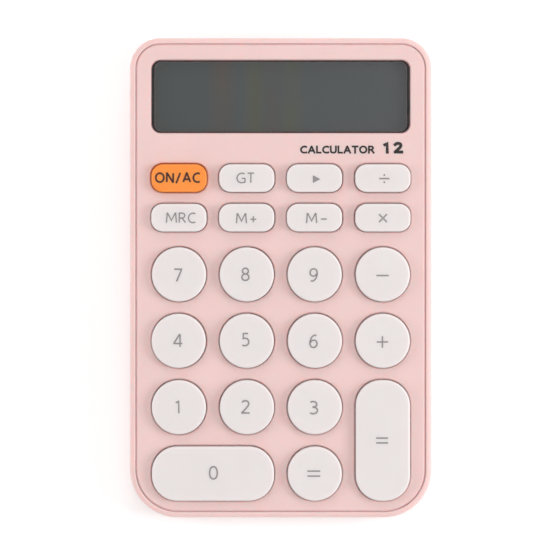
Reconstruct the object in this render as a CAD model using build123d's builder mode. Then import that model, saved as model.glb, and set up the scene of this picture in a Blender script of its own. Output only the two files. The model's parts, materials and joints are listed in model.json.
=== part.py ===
from build123d import *
import os
from math import cos, pi, radians, sin, tan

# Desk calculator: a wedge-shaped tub closed by an inset face panel, with 22 sprung keys, a smoked
# window over the display, one AAA cell in the thick end and a door that slides off rearwards.
#
# Frame, in millimetres: +X to the user's right, +Y towards the display, +Z up. The origin is under
# the middle of the body, on the plane that the rubber feet stand on.
#
# The face slopes up towards the display. What belongs to it is drawn on the deck, the plane of the
# face: x is the row's X, y runs up the slope, and heights are measured square to the face, from 0
# at the face down to negative values inside. The underside, the cell and the door are level.

os.makedirs("parts", exist_ok=True)

# ---------------------------------------------------------------- body
body_width = 100.0
body_length = 159.0  # along the slope
front_height = 11.0  # face above the table, at the user's edge
deck_tilt = 5.0  # degrees
front_corner = 15.8
rear_corner = 10.0
wall = 1.85
floor = 2.0
rim_round = 1.4
base_round = 2.0
foot_stand = 1.2  # underside above the table

# ---------------------------------------------------------------- face panel
panel_thickness = 2.0
groove_width = 0.5
groove_depth = 0.7
panel_play = 0.1
panel_edge_round = 0.25
skirt_gap = 1.3  # from the tub's wall to the panel's skirt, room for the tub's ribs
skirt_thickness = 1.2
skirt_depth = 2.0
skirt_room = 0.1  # left between the skirt and the keys' flanges or the display's holder
rib_reach = 1.0
rib_width = 1.2
side_rib_rows = (-52.0, -20.0, 12.0, 36.0, 58.0)
end_rib_x = 13.0
hook_width = 6.0
hook_height = 0.9
hook_grip = 0.8
hook_play = 0.25
hook_spacing = 26.0
hook_drop = 1.0  # from the panel's underside to its hooks
past_wall = 5.0  # cuts that leave through the rear wall run on by this

# ---------------------------------------------------------------- keys
column_pitch = 22.5
row_pitch = 22.0
front_margin = 14.7  # user's edge to the centre of the first row
first_bar_step = 18.8  # last round row to the first row of bar keys
bar_step = 13.1
round_key = 18.0
bar_length = 18.3
bar_width = 9.2
bar_corner = 3.8
long_key_flat = 0.6  # how far the long keys' corners are from a full half circle
key_gap = 0.32
key_proud = 2.2
key_travel = 1.5
key_sag = 0.12  # how far the keys hang towards the user in their openings
key_round = 0.7
bar_round = 0.5
key_wall = 1.4
key_play = 0.1
flange_reach = 0.8
flange_thickness = 0.8
lug_reach = 0.9
lug_width = 2.4
lug_play = 0.2
guide_width = 0.9
stem_radius = 2.2
stem_length = 0.7

# ---------------------------------------------------------------- dome mat and circuit board
dome_height = 2.8
dome_wall = 0.6
dome_foot_radius = 4.4
dome_top_radius = 2.5
mat_thickness = 0.8
mat_margin = 5.0
pill_radius = 1.6
pill_thickness = 0.4
board_thickness = 1.2
board_margin = 4.6
blob_place = (-14.0, 24.0)
blob_radius = 6.0
blob_height = 1.3
blob_round = 1.04
chip_size = (2.0, 1.25)
chip_height = 0.6
chip_places = [(4.0, 20.0), (8.5, 20.0), (4.0, 26.0), (8.5, 26.0), (13.0, 23.0), (-26.0, 20.0), (-26.0, 27.0)]
capacitor_place = (30.0, 24.0)
capacitor_radius = 2.5
capacitor_height = 6.0
capacitor_round = 0.4
crimp_level = 1.2  # below the board
crimp_depth = 0.25

# ---------------------------------------------------------------- window and display
lens_length = 85.7
lens_width = 24.1
lens_corner = 3.0
lens_chamfer = 0.2
corner_share = 0.7  # of an inset, taken off the window's corner radius
lens_thickness = 1.3
lens_sink = 0.15
lens_gap = 0.15
window_margin = 7.35  # display end of the body to the lens
ledge_side = 1.1
ledge_end = 0.6
tape_thickness = 0.15
tape_inset = 0.1
pad_drop = 0.8
pad_margin = 2.4
mouth_chamfer = 0.35
glass_length = 86.4
glass_width = 26.6
glass_thickness = 1.0
contact_ledge = 3.2
film_thickness = 0.2
film_inset = 0.6
film_play = 0.1
glass_play = 0.2
holder_wall = 1.2
holder_corner = 2.6
holder_ledge = 1.4
zebra_width = 1.8
zebra_inset = 0.7

# ---------------------------------------------------------------- screws
boss_radius = 2.3
boss_room = 0.35
case_joint_gap = 0.4  # board's underside to where the panel's and the tub's bosses meet
tube_radius = 3.2
screw_seat = 1.6
screw_radius = 0.95
screw_head_radius = 1.8
screw_head_height = 1.3
screw_play = 0.25
thread_play = 0.01
case_screw_length = 6.0
board_screw_length = 4.2
recess_play = 0.35
pilot_room = 0.3  # pilot holes go past the screws' ends
cross_length = 2.2
cross_width = 0.5
cross_depth = 0.78
strip_drop = 6.2  # window's edge to the line of screws above the keys
strip_case_screw = 38.0
strip_board_screw = 12.0
low_screw_shift = 2.4  # off the first gap between rows, clear of the wide key
side_screw_shift = 3.0  # off the gap between columns, clear of the tall key
gap_to_bars = 1.4  # last round row's edge to the screws above it
post_radius = 1.6
side_post_x = 42.0
rear_post_x = 40.0
rear_post_margin = 9.5

# ---------------------------------------------------------------- cell, contacts and door
cell_radius = 5.25
cell_length = 44.5
nub_radius = 1.9
nub_length = 0.8
cell_play = 0.3
cell_round = 0.5
bay_wall = 1.2
bay_roof = 0.8
bay_to_rear = 14.5
contact_thickness = 0.4
contact_width = 9.0
contact_height = 8.0
spring_length = 4.6
spring_radius = 3.0
spring_wire = 0.3
spring_turns = 3
spring_bite = 0.24  # the first turn's centre from the plate it is welded to
tab_width = 3.0
tab_length = 4.0
tab_play = 0.2
door_margin = 1.5
door_play = 0.15
tongue_reach = 1.2
tongue_rise = 1.0
tongue_thickness = 0.8
tongue_play = 0.1
tongue_root = 1.0  # how far the front tab runs back into the door
tongue_stop = 4.0  # from the rear wall to the ends of the side tongues
front_tab_half = 15.87
joint_sink = 0.1  # how far a raised frame sinks into what it stands on
frame_height = 1.4
frame_margin = 2.0
grip_count = 4
grip_pitch = 2.2
grip_width = 1.0
grip_depth = 0.4
grip_length = 18.0
grip_shift = 3.0  # from the door's middle towards its free edge
lead_radius = 0.5

# ---------------------------------------------------------------- feet
foot_radius = 4.5
foot_recess = 0.8
foot_play = 0.15
foot_round = 0.4
foot_x = 38.0
foot_margin = 14.0

reach = 60.0  # longer than the body is deep, for cuts that run right through

# ---------------------------------------------------------------- the deck
tilt_cos = cos(radians(deck_tilt))
tilt_sin = sin(radians(deck_tilt))
deck_height = front_height + body_length / 2 * tilt_sin

# The front of the body is the top of its rounded rim, and its rear is low on the leaning wall,
# where the base's round begins. The deck's origin puts both the same distance from Y = 0.
front_reach = (body_length / 2 - rim_round) * tilt_cos - rim_round * tilt_sin + rim_round
low_wall_drop = (deck_height + body_length / 2 * tilt_sin - foot_stand - base_round) / tilt_cos
rear_reach = body_length / 2 * tilt_cos + low_wall_drop * tilt_sin - base_round / tilt_cos + base_round
deck_y = (front_reach - rear_reach) / 2
rear_y = rear_reach + deck_y

deck = Plane(origin=(0, deck_y, deck_height), x_dir=(1, 0, 0), z_dir=(0, -tilt_sin, tilt_cos))
deck_axis = Axis((0, deck_y, deck_height), (0, -tilt_sin, tilt_cos))


def deck_level(height):
    """The plane parallel to the face at this height above it."""
    return deck.offset(height)


def deck_point(x, y, height):
    """The place in the row's frame of a point given on the deck."""
    return deck.from_local_coords(Vector(x, y, height))


# Heights above the face, going down
panel_under = -panel_thickness
flange_top = panel_under - key_play
flange_under = flange_top - flange_thickness
dome_top = flange_under - stem_length
board_top = dome_top - dome_height
board_under = board_top - board_thickness
case_joint = board_under - case_joint_gap
screw_seat_level = case_joint - screw_seat
pad_under = panel_under - pad_drop

# Places on the deck
columns = [(i - 1.5) * column_pitch for i in range(4)]
round_rows = [-body_length / 2 + front_margin + i * row_pitch for i in range(4)]
bar_rows = [round_rows[3] + first_bar_step, round_rows[3] + first_bar_step + bar_step]
window_y = body_length / 2 - window_margin - lens_width / 2
display_y = window_y - ledge_end
strip_y = window_y - lens_width / 2 - strip_drop
low_gap = (round_rows[0] + round_rows[1]) / 2
mid_gap = (round_rows[1] + round_rows[2]) / 2
high_gap = (round_rows[2] + round_rows[3]) / 2
top_gap = round_rows[3] + round_key / 2 + gap_to_bars

case_screw_places = [
    (-column_pitch, low_gap + low_screw_shift),
    (column_pitch - side_screw_shift, low_gap),
    (-column_pitch, high_gap),
    (column_pitch, high_gap),
    (-strip_case_screw, strip_y),
    (strip_case_screw, strip_y),
]
board_screw_places = [
    (0.0, low_gap + low_screw_shift),
    (-column_pitch, mid_gap),
    (0.0, mid_gap),
    (column_pitch, mid_gap),
    (0.0, high_gap),
    (-column_pitch, top_gap),
    (0.0, top_gap),
    (column_pitch, top_gap),
    (-strip_board_screw, strip_y),
    (strip_board_screw, strip_y),
]
contact_places = [(x, y) for y in round_rows + bar_rows for x in columns]


# ---------------------------------------------------------------- outlines shared by pieces
def body_outline(inset):
    """The body's outline on the deck, moved in by inset."""
    with BuildSketch() as outline:
        Rectangle(body_width - 2 * inset, body_length - 2 * inset)
        fillet(outline.vertices().group_by(Axis.Y)[0], front_corner - inset)
        fillet(outline.vertices().group_by(Axis.Y)[-1], rear_corner - inset)
    return outline.sketch


def ring_outline(outer_inset, inner_inset):
    """The strip of the body's outline between two insets."""
    with BuildSketch() as ring:
        add(body_outline(outer_inset))
        add(body_outline(inner_inset), mode=Mode.SUBTRACT)
    return ring.sketch


def key_outline(size, corner, grow):
    """A key's outline about its centre, grown all round."""
    with BuildSketch() as outline:
        if corner * 2 >= max(size):
            Circle(size[0] / 2 + grow)
        else:
            RectangleRounded(size[0] + 2 * grow, size[1] + 2 * grow, corner + grow)
    return outline.sketch


def lens_outline(side, end):
    """The window's outline about its centre, moved in by side in X and by end in Y."""
    with BuildSketch() as outline:
        corner = lens_corner - max(side, end) * corner_share
        RectangleRounded(lens_length - 2 * side, lens_width - 2 * end, corner)
    return outline.sketch


def holder_outline(grow):
    """The display holder's outline about its centre, grown all round."""
    side = 2 * (glass_play + holder_wall + grow)
    with BuildSketch() as outline:
        RectangleRounded(glass_length + side, glass_width + side, holder_corner + grow)
    return outline.sketch


# Each key: name, centre, size, corner radius, edge round and where its stems are from its centre
long_corner = round_key / 2 - long_key_flat
round_size = (round_key, round_key)
bar_size = (bar_length, bar_width)
wide_size = (column_pitch + round_key, round_key)
tall_size = (round_key, row_pitch + round_key)
key_names = {
    bar_rows[1]: ("key_on_ac", "key_gt", "key_backspace", "key_divide"),
    bar_rows[0]: ("key_mrc", "key_m_plus", "key_m_minus", "key_multiply"),
    round_rows[3]: ("key_7", "key_8", "key_9", "key_minus"),
    round_rows[2]: ("key_4", "key_5", "key_6", "key_plus"),
    round_rows[1]: ("key_1", "key_2", "key_3", None),
    round_rows[0]: (None, None, "key_equals", None),
}
keys = []
for row, names in key_names.items():
    for column, key_name in zip(columns, names):
        if key_name is None:
            continue
        if row in bar_rows:
            keys.append((key_name, (column, row), bar_size, bar_corner, bar_round, [(0, 0)]))
        else:
            keys.append((key_name, (column, row), round_size, round_key / 2, key_round, [(0, 0)]))
wide_centre = ((columns[0] + columns[1]) / 2, round_rows[0])
wide_stems = [(-column_pitch / 2, 0), (column_pitch / 2, 0)]
keys.append(("key_0", wide_centre, wide_size, long_corner, key_round, wide_stems))
tall_centre = (columns[3], (round_rows[0] + round_rows[1]) / 2)
tall_stems = [(0, -row_pitch / 2), (0, row_pitch / 2)]
keys.append(("key_total", tall_centre, tall_size, long_corner, key_round, tall_stems))

# Sprung keys never stand quite in the middle of their openings: how far each is to one side
key_leans = {
    "key_on_ac": 0.06,
    "key_backspace": -0.1,
    "key_divide": 0.1,
    "key_m_plus": -0.05,
    "key_m_minus": -0.1,
    "key_multiply": 0.1,
    "key_7": 0.05,
    "key_minus": 0.08,
    "key_4": -0.08,
    "key_6": 0.08,
    "key_plus": 0.06,
    "key_2": 0.08,
    "key_3": 0.05,
    "key_equals": 0.05,
    "key_0": 0.06,
    "key_total": 0.1,
}

# ---------------------------------------------------------------- the body's outer form
with BuildPart() as outer_form:
    with BuildSketch(deck):
        add(body_outline(0))
    extrude(amount=-reach)
    split(bisect_by=Plane.XY.offset(foot_stand), keep=Keep.TOP)
    fillet(outer_form.faces().sort_by(Axis.Z)[0].edges(), base_round)
    fillet(outer_form.faces().sort_by(deck_axis)[-1].edges(), rim_round)

floor_top = foot_stand + floor
with BuildPart() as cavity:
    with BuildSketch(deck):
        add(body_outline(wall))
    extrude(amount=-reach)
    split(bisect_by=Plane.XY.offset(floor_top), keep=Keep.TOP)

# ---------------------------------------------------------------- where the cell and door lie
bay_length = cell_length + spring_length + 2 * contact_thickness
bay_width = 2 * (cell_radius + cell_play)
bay_y = rear_y - bay_to_rear
cell_z = floor_top + cell_play + cell_radius
bay_top = cell_z + cell_radius + cell_play
door_half = bay_length / 2 + door_margin
door_front = bay_y - bay_width / 2 - frame_margin
tongue_z = foot_stand + tongue_rise
frame_top = floor_top + frame_height
foot_places = [
    (x, y) for x in (-foot_x, foot_x) for y in (-rear_y + foot_margin, rear_y - foot_margin)
]
post_places = [(x, y) for x in (-side_post_x, side_post_x) for y in (mid_gap, top_gap)] + [
    (-rear_post_x, body_length / 2 - rear_post_margin),
    (rear_post_x, body_length / 2 - rear_post_margin),
]


def level_block(x_from, x_to, y_from, y_to, z_from, z_to, mode=Mode.ADD):
    """A block with its sides along the row's axes, added to or cut from the part being built."""
    middle = ((x_from + x_to) / 2, (y_from + y_to) / 2, (z_from + z_to) / 2)
    with Locations(middle):
        Box(x_to - x_from, y_to - y_from, z_to - z_from, mode=mode)


# ---------------------------------------------------------------- rear case
rib_middle = wall + (rib_reach - panel_play) / 2
side_rib_x = body_width / 2 - rib_middle
end_rib_y = body_length / 2 - rib_middle
side_ribs = [(x, y) for x in (-side_rib_x, side_rib_x) for y in side_rib_rows]
end_ribs = [(x, y) for x in (-end_rib_x, end_rib_x) for y in (-end_rib_y, end_rib_y)]

with BuildPart() as case_ribs:
    with BuildSketch(deck_level(panel_under)):
        with Locations(*side_ribs):
            Rectangle(rib_reach + panel_play, rib_width)
        with Locations(*end_ribs):
            Rectangle(rib_width, rib_reach + panel_play)
    extrude(amount=-reach)
    with BuildSketch(deck_level(case_joint)):
        with Locations(*case_screw_places):
            Circle(tube_radius)
    extrude(amount=-reach)
    with BuildSketch(deck_level(board_under)):
        with Locations(*post_places):
            Circle(post_radius)
    extrude(amount=-reach)
    split(bisect_by=Plane.XY.offset(foot_stand + floor / 2), keep=Keep.TOP)

with BuildPart() as rear_case:
    add(outer_form.part)
    add(cavity.part, mode=Mode.SUBTRACT)
    rim_face = rear_case.faces().sort_by(deck_axis)[-1]
    chamfer(rim_face.inner_wires()[0].edges(), panel_edge_round)
    add(case_ribs.part)
    # frame over the door, and the cell's bay standing on it
    level_block(
        -door_half - tongue_reach - frame_margin, door_half + tongue_reach + frame_margin,
        door_front - tongue_reach - frame_margin, rear_y - wall / 2, floor_top - joint_sink, frame_top,
    )
    level_block(
        -bay_length / 2 - bay_wall, bay_length / 2 + bay_wall,
        bay_y - bay_width / 2 - bay_wall, bay_y + bay_width / 2 + bay_wall,
        floor_top, bay_top + bay_roof,
    )
    level_block(
        -bay_length / 2, bay_length / 2, bay_y - bay_width / 2, bay_y + bay_width / 2,
        0, bay_top, mode=Mode.SUBTRACT,
    )
    # the door's way out, its side grooves and the pocket for its front tab
    level_block(
        -door_half - door_play, door_half + door_play, door_front - door_play, rear_y + past_wall,
        0, floor_top + tongue_play, mode=Mode.SUBTRACT,
    )
    level_block(
        -door_half - tongue_reach - door_play, door_half + tongue_reach + door_play,
        door_front - door_play, rear_y + past_wall,
        tongue_z - tongue_play, tongue_z + tongue_thickness + tongue_play, mode=Mode.SUBTRACT,
    )
    level_block(
        -front_tab_half - door_play, front_tab_half + door_play,
        door_front - tongue_reach - door_play, door_front,
        tongue_z - tongue_play, tongue_z + tongue_thickness + tongue_play, mode=Mode.SUBTRACT,
    )
    # slots for the contacts' tabs
    for side in (-1, 1):
        with Locations((side * (bay_length / 2 + bay_wall / 2), bay_y, cell_z)):
            Box(
                2 * bay_wall, tab_width + 2 * tab_play, contact_thickness + 2 * tab_play,
                mode=Mode.SUBTRACT,
            )
    # screw seats, from the underside
    with BuildSketch(deck_level(screw_seat_level)):
        with Locations(*case_screw_places):
            Circle(screw_head_radius + recess_play)
    extrude(amount=-reach, mode=Mode.SUBTRACT)
    with BuildSketch(deck_level(case_joint)):
        with Locations(*case_screw_places):
            Circle(screw_radius + screw_play)
    extrude(amount=-reach, mode=Mode.SUBTRACT)
    # pockets for the feet
    with BuildSketch(Plane.XY.offset(foot_stand + foot_recess)):
        with Locations(*foot_places):
            Circle(foot_radius + foot_play)
    extrude(amount=-reach, mode=Mode.SUBTRACT)
    # pockets for the panel's hooks
    with BuildSketch(deck_level(panel_under - hook_drop + hook_play)):
        with Locations((0, body_length / 2 - wall + (hook_grip + hook_play) / 2)):
            with GridLocations(hook_spacing, 1, 3, 1):
                Rectangle(hook_width + 2 * hook_play, hook_grip + hook_play)
    extrude(amount=-hook_height - 2 * hook_play, mode=Mode.SUBTRACT)
rear_case.part.label = "rear_case"
export_step(rear_case.part, "parts/rear_case.step")

# ---------------------------------------------------------------- front panel
lug_places = []
for _, centre, size, _, _, _ in keys:
    lug_middle = size[0] / 2 + flange_reach + (lug_reach + lug_play) / 2
    for side in (-1, 1):
        lug_places.append((centre[0] + side * lug_middle, centre[1]))
guide_offset = lug_width / 2 + lug_play + guide_width / 2
guide_places = [(x, y + side * guide_offset) for x, y in lug_places for side in (-1, 1)]
guide_depth = key_play + flange_thickness + key_travel
guide_length = lug_reach - lug_play

with BuildPart() as front_panel:
    with BuildSketch(deck):
        add(body_outline(wall + groove_width))
    extrude(amount=-groove_depth)
    chamfer(front_panel.faces().sort_by(deck_axis)[-1].edges(), panel_edge_round)
    with BuildSketch(deck_level(-groove_depth)):
        add(body_outline(wall + panel_play))
    extrude(amount=groove_depth - panel_thickness)
    with BuildSketch(deck_level(panel_under)):
        add(ring_outline(wall + skirt_gap, wall + skirt_gap + skirt_thickness))
        for _, centre, size, corner, _, _ in keys:
            with Locations(centre):
                add(key_outline(size, corner, flange_reach + skirt_room), mode=Mode.SUBTRACT)
        with Locations((0, display_y)):
            add(holder_outline(skirt_room), mode=Mode.SUBTRACT)
    extrude(amount=-skirt_depth)
    with BuildSketch(deck_level(panel_under)):
        with Locations((0, window_y)):
            Rectangle(lens_length + 2 * pad_margin, lens_width + 2 * pad_margin)
    extrude(amount=-pad_drop)
    # hooks that catch in the tub's rear wall
    with BuildSketch(deck_level(panel_under - hook_drop)):
        with Locations((0, body_length / 2 - wall + hook_grip - (skirt_gap + skirt_thickness) / 2)):
            with GridLocations(hook_spacing, 1, 3, 1):
                Rectangle(hook_width, skirt_gap + skirt_thickness)
    extrude(amount=-hook_height)
    # bosses for both kinds of screw, and guides either side of each key's lugs
    with BuildSketch(deck_level(panel_under)):
        with Locations(*case_screw_places):
            Circle(boss_radius)
    extrude(amount=case_joint - panel_under)
    with BuildSketch(deck_level(panel_under)):
        with Locations(*board_screw_places):
            Circle(boss_radius)
    extrude(amount=board_top - panel_under)
    with BuildSketch(deck_level(panel_under)):
        with Locations(*guide_places):
            Rectangle(guide_length, guide_width)
    extrude(amount=-guide_depth)
    # pilot holes
    with BuildSketch(deck_level(case_joint)):
        with Locations(*case_screw_places):
            Circle(screw_radius + thread_play)
    extrude(amount=case_screw_length, mode=Mode.SUBTRACT)
    with BuildSketch(deck_level(board_top)):
        with Locations(*board_screw_places):
            Circle(screw_radius + thread_play)
    extrude(amount=board_screw_length - board_thickness + pilot_room, mode=Mode.SUBTRACT)
    # window recess, and the opening behind it
    with BuildSketch(deck):
        with Locations((0, window_y)):
            add(lens_outline(-lens_gap, -lens_gap))
    extrude(amount=-lens_sink - lens_thickness - tape_thickness, mode=Mode.SUBTRACT)
    with BuildSketch(deck):
        with Locations((0, window_y)):
            add(lens_outline(ledge_side, ledge_end))
    extrude(amount=-reach, mode=Mode.SUBTRACT)
    # key openings
    for _, centre, size, corner, _, _ in keys:
        with BuildSketch(deck):
            with Locations(centre):
                add(key_outline(size, corner, key_gap))
        extrude(amount=-panel_thickness, mode=Mode.SUBTRACT)
    face_edges = front_panel.faces().sort_by(deck_axis)[-1].inner_wires()
    chamfer([edge for wire in face_edges for edge in wire.edges()], mouth_chamfer)
front_panel.part.label = "front_panel"
export_step(front_panel.part, "parts/front_panel.step")

# ---------------------------------------------------------------- keys
for key_name, centre, size, corner, edge_round, stems in keys:
    seat = (centre[0] + key_leans.get(key_name, 0), centre[1] - key_sag)
    with BuildPart() as key:
        with BuildSketch(deck_level(flange_under)):
            with Locations(seat):
                add(key_outline(size, corner, 0))
        extrude(amount=key_proud - flange_under)
        fillet(key.faces().sort_by(deck_axis)[-1].edges(), edge_round)
        with BuildSketch(deck_level(flange_under)):
            with Locations(seat):
                add(key_outline(size, corner, flange_reach))
                Rectangle(size[0] + 2 * (flange_reach + lug_reach), lug_width)
        extrude(amount=flange_thickness)
        with BuildSketch(deck_level(flange_under)):
            with Locations(seat):
                add(key_outline(size, corner, -key_wall))
        extrude(amount=key_proud - flange_under - key_wall, mode=Mode.SUBTRACT)
        with BuildSketch(deck_level(dome_top)):
            with Locations(*[(seat[0] + x, seat[1] + y) for x, y in stems]):
                Circle(stem_radius)
        extrude(amount=key_proud - dome_top - key_wall)
    key.part.label = key_name
    export_step(key.part, f"parts/{key_name}.step")

# ---------------------------------------------------------------- dome mat and its carbon pills
mat_rear = strip_y - boss_radius - boss_room
standing = (Align.CENTER, Align.CENTER, Align.MIN)
dome_hollow_radius = dome_foot_radius + mat_thickness - dome_wall
with BuildPart() as dome:
    Cone(dome_foot_radius, dome_top_radius, dome_height - mat_thickness, align=standing)
with BuildPart() as dome_hollow:
    Cone(dome_hollow_radius, dome_top_radius - dome_wall, dome_height - dome_wall, align=standing)

with BuildPart(deck_level(board_top)) as keypad_mat:
    with BuildSketch(deck_level(board_top)):
        add(body_outline(mat_margin))
        with Locations((0, mat_rear + body_length / 2)):
            Rectangle(body_width, body_length, mode=Mode.SUBTRACT)
        with Locations(*[p for p in case_screw_places + board_screw_places if p[1] < mat_rear]):
            Circle(boss_radius + boss_room, mode=Mode.SUBTRACT)
    extrude(amount=mat_thickness)
    with Locations(*[(x, y, mat_thickness) for x, y in contact_places]):
        add(dome.part)
    with Locations(*[(x, y, 0) for x, y in contact_places]):
        add(dome_hollow.part, mode=Mode.SUBTRACT)
keypad_mat.part.label = "keypad_mat"
export_step(keypad_mat.part, "parts/keypad_mat.step")

with BuildPart() as contact_pills:
    with BuildSketch(deck_level(dome_top - dome_wall - pill_thickness)):
        with Locations(*contact_places):
            Circle(pill_radius)
    extrude(amount=pill_thickness)
contact_pills.part.label = "contact_pills"
export_step(contact_pills.part, "parts/contact_pills.step")

# ---------------------------------------------------------------- circuit board and what is on it
with BuildPart() as circuit_board:
    with BuildSketch(deck_level(board_under)):
        add(body_outline(board_margin))
        with Locations(*case_screw_places):
            Circle(boss_radius + boss_room, mode=Mode.SUBTRACT)
        with Locations(*board_screw_places):
            Circle(screw_radius + screw_play, mode=Mode.SUBTRACT)
    extrude(amount=board_thickness)
circuit_board.part.label = "circuit_board"
export_step(circuit_board.part, "parts/circuit_board.step")

with BuildPart() as chip_blob:
    with BuildSketch(deck_level(board_under)):
        with Locations(blob_place):
            Circle(blob_radius)
    extrude(amount=-blob_height)
    fillet(chip_blob.faces().sort_by(deck_axis)[0].edges(), blob_round)
chip_blob.part.label = "chip_blob"
export_step(chip_blob.part, "parts/chip_blob.step")

with BuildPart() as chip_components:
    with BuildSketch(deck_level(board_under)):
        with Locations(*chip_places):
            Rectangle(*chip_size)
    extrude(amount=-chip_height)
chip_components.part.label = "chip_components"
export_step(chip_components.part, "parts/chip_components.step")

with BuildPart(deck_level(board_under)) as electrolytic_capacitor:
    with Locations((*capacitor_place, -capacitor_height / 2)):
        Cylinder(capacitor_radius, capacitor_height)
    with Locations((*capacitor_place, -crimp_level)):
        Torus(capacitor_radius + crimp_depth, 2 * crimp_depth, mode=Mode.SUBTRACT)
    fillet(electrolytic_capacitor.faces().sort_by(deck_axis)[0].edges(), capacitor_round)
electrolytic_capacitor.part.label = "electrolytic_capacitor"
export_step(electrolytic_capacitor.part, "parts/electrolytic_capacitor.step")


# ---------------------------------------------------------------- screws
def screw_set(places, seat, length):
    """Identical cross-recess screws that stand on the seat level with their heads below it."""
    with BuildPart() as screws:
        with BuildSketch(deck_level(seat)):
            with Locations(*places):
                Circle(screw_radius)
        extrude(amount=length)
        with BuildSketch(deck_level(seat)):
            with Locations(*places):
                Circle(screw_head_radius)
        extrude(amount=-screw_head_height)
        with BuildSketch(deck_level(seat - screw_head_height)):
            with Locations(*places):
                Rectangle(cross_length, cross_width)
                Rectangle(cross_width, cross_length)
        extrude(amount=cross_depth, mode=Mode.SUBTRACT)
    return screws.part


casing_screws = screw_set(case_screw_places, screw_seat_level, case_screw_length)
casing_screws.label = "casing_screws"
export_step(casing_screws, "parts/casing_screws.step")

board_screws = screw_set(board_screw_places, board_under, board_screw_length)
board_screws.label = "board_screws"
export_step(board_screws, "parts/board_screws.step")

# ---------------------------------------------------------------- window and display
lens_top = -lens_sink
tape_top = lens_top - lens_thickness
with BuildPart() as display_window:
    with BuildSketch(deck_level(tape_top)):
        with Locations((0, window_y)):
            add(lens_outline(0, 0))
    extrude(amount=lens_thickness)
    chamfer(display_window.faces().sort_by(deck_axis)[-1].edges(), lens_chamfer)
display_window.part.label = "display_window"
export_step(display_window.part, "parts/display_window.step")

with BuildPart() as window_tape:
    with BuildSketch(deck_level(tape_top)):
        with Locations((0, window_y)):
            add(lens_outline(tape_inset, tape_inset))
            add(lens_outline(ledge_side - tape_inset, ledge_end - tape_inset), mode=Mode.SUBTRACT)
    extrude(amount=-tape_thickness)
window_tape.part.label = "window_tape"
export_step(window_tape.part, "parts/window_tape.step")

film_top = pad_under - film_play
glass_top = film_top - film_thickness
rear_glass_top = glass_top - glass_thickness
reflector_top = rear_glass_top - glass_thickness
holder_seat = reflector_top - film_thickness
rear_glass_y = display_y + contact_ledge / 2
rear_glass_width = glass_width - contact_ledge
zebra_y = display_y - glass_width / 2 + zebra_inset + zebra_width / 2


def display_sheet(top, thickness, middle_y, inset, width):
    """A flat sheet of the display: one plate of glass or one film."""
    with BuildPart() as piece:
        with BuildSketch(deck_level(top)):
            with Locations((0, middle_y)):
                Rectangle(glass_length - 2 * inset, width - 2 * inset)
        extrude(amount=-thickness)
    return piece.part


front_glass = display_sheet(glass_top, glass_thickness, display_y, 0, glass_width)
rear_glass = display_sheet(rear_glass_top, glass_thickness, rear_glass_y, 0, rear_glass_width)
with BuildPart() as lcd_glass:
    add(front_glass)
    add(rear_glass)
lcd_glass.part.label = "lcd_glass"
export_step(lcd_glass.part, "parts/lcd_glass.step")

lcd_front_polariser = display_sheet(film_top, film_thickness, display_y, film_inset, glass_width)
lcd_front_polariser.label = "lcd_front_polariser"
export_step(lcd_front_polariser, "parts/lcd_front_polariser.step")

lcd_reflector = display_sheet(reflector_top, film_thickness, rear_glass_y, film_inset, rear_glass_width)
lcd_reflector.label = "lcd_reflector"
export_step(lcd_reflector, "parts/lcd_reflector.step")

with BuildPart() as lcd_holder:
    with BuildSketch(deck_level(board_top)):
        with Locations((0, display_y)):
            add(holder_outline(0))
    extrude(amount=pad_under - board_top)
    with BuildSketch(deck_level(pad_under)):
        with Locations((0, display_y)):
            Rectangle(glass_length + 2 * glass_play, glass_width + 2 * glass_play)
    extrude(amount=holder_seat - pad_under, mode=Mode.SUBTRACT)
    with BuildSketch(deck_level(holder_seat)):
        with Locations((0, rear_glass_y)):
            Rectangle(glass_length - 2 * holder_ledge, rear_glass_width - 2 * holder_ledge)
        with Locations((0, zebra_y)):
            Rectangle(glass_length - 2 * holder_ledge, zebra_width + 2 * glass_play)
    extrude(amount=board_top - holder_seat, mode=Mode.SUBTRACT)
lcd_holder.part.label = "lcd_holder"
export_step(lcd_holder.part, "parts/lcd_holder.step")

with BuildPart() as zebra_strip:
    with BuildSketch(deck_level(board_top)):
        with Locations((0, zebra_y)):
            Rectangle(glass_length - 2 * holder_ledge - 2 * glass_play, zebra_width)
    extrude(amount=rear_glass_top - board_top)
zebra_strip.part.label = "zebra_strip"
export_step(zebra_strip.part, "parts/zebra_strip.step")

# ---------------------------------------------------------------- cell and its contacts
spring_x = -bay_length / 2 + contact_thickness
cell_x = spring_x + spring_length
nub_x = cell_x + cell_length - nub_length
with BuildPart() as battery_cell:
    with BuildSketch(Plane(origin=(cell_x, bay_y, cell_z), x_dir=(0, 1, 0), z_dir=(1, 0, 0))):
        Circle(cell_radius)
    extrude(amount=cell_length - nub_length)
    fillet(battery_cell.edges().filter_by(GeomType.CIRCLE), cell_round)
    with BuildSketch(Plane(origin=(nub_x, bay_y, cell_z), x_dir=(0, 1, 0), z_dir=(1, 0, 0))):
        Circle(nub_radius)
    extrude(amount=nub_length)
battery_cell.part.label = "battery_cell"
export_step(battery_cell.part, "parts/battery_cell.step")

contact_bottom = cell_z - contact_height / 2


def contact_plate(side):
    """A contact's flat plate at one end of the bay, with its solder tab out through the wall."""
    plate_x = side * (bay_length / 2 - contact_thickness / 2)
    tab_x = side * (bay_length / 2 - contact_thickness + tab_length / 2)
    with BuildPart() as plate:
        with Locations((plate_x, bay_y, cell_z)):
            Box(contact_thickness, contact_width, contact_height)
        with Locations((tab_x, bay_y, cell_z)):
            Box(tab_length, tab_width, contact_thickness)
    return plate.part


battery_plate = contact_plate(1)
battery_plate.label = "battery_plate"
export_step(battery_plate, "parts/battery_plate.step")

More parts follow.
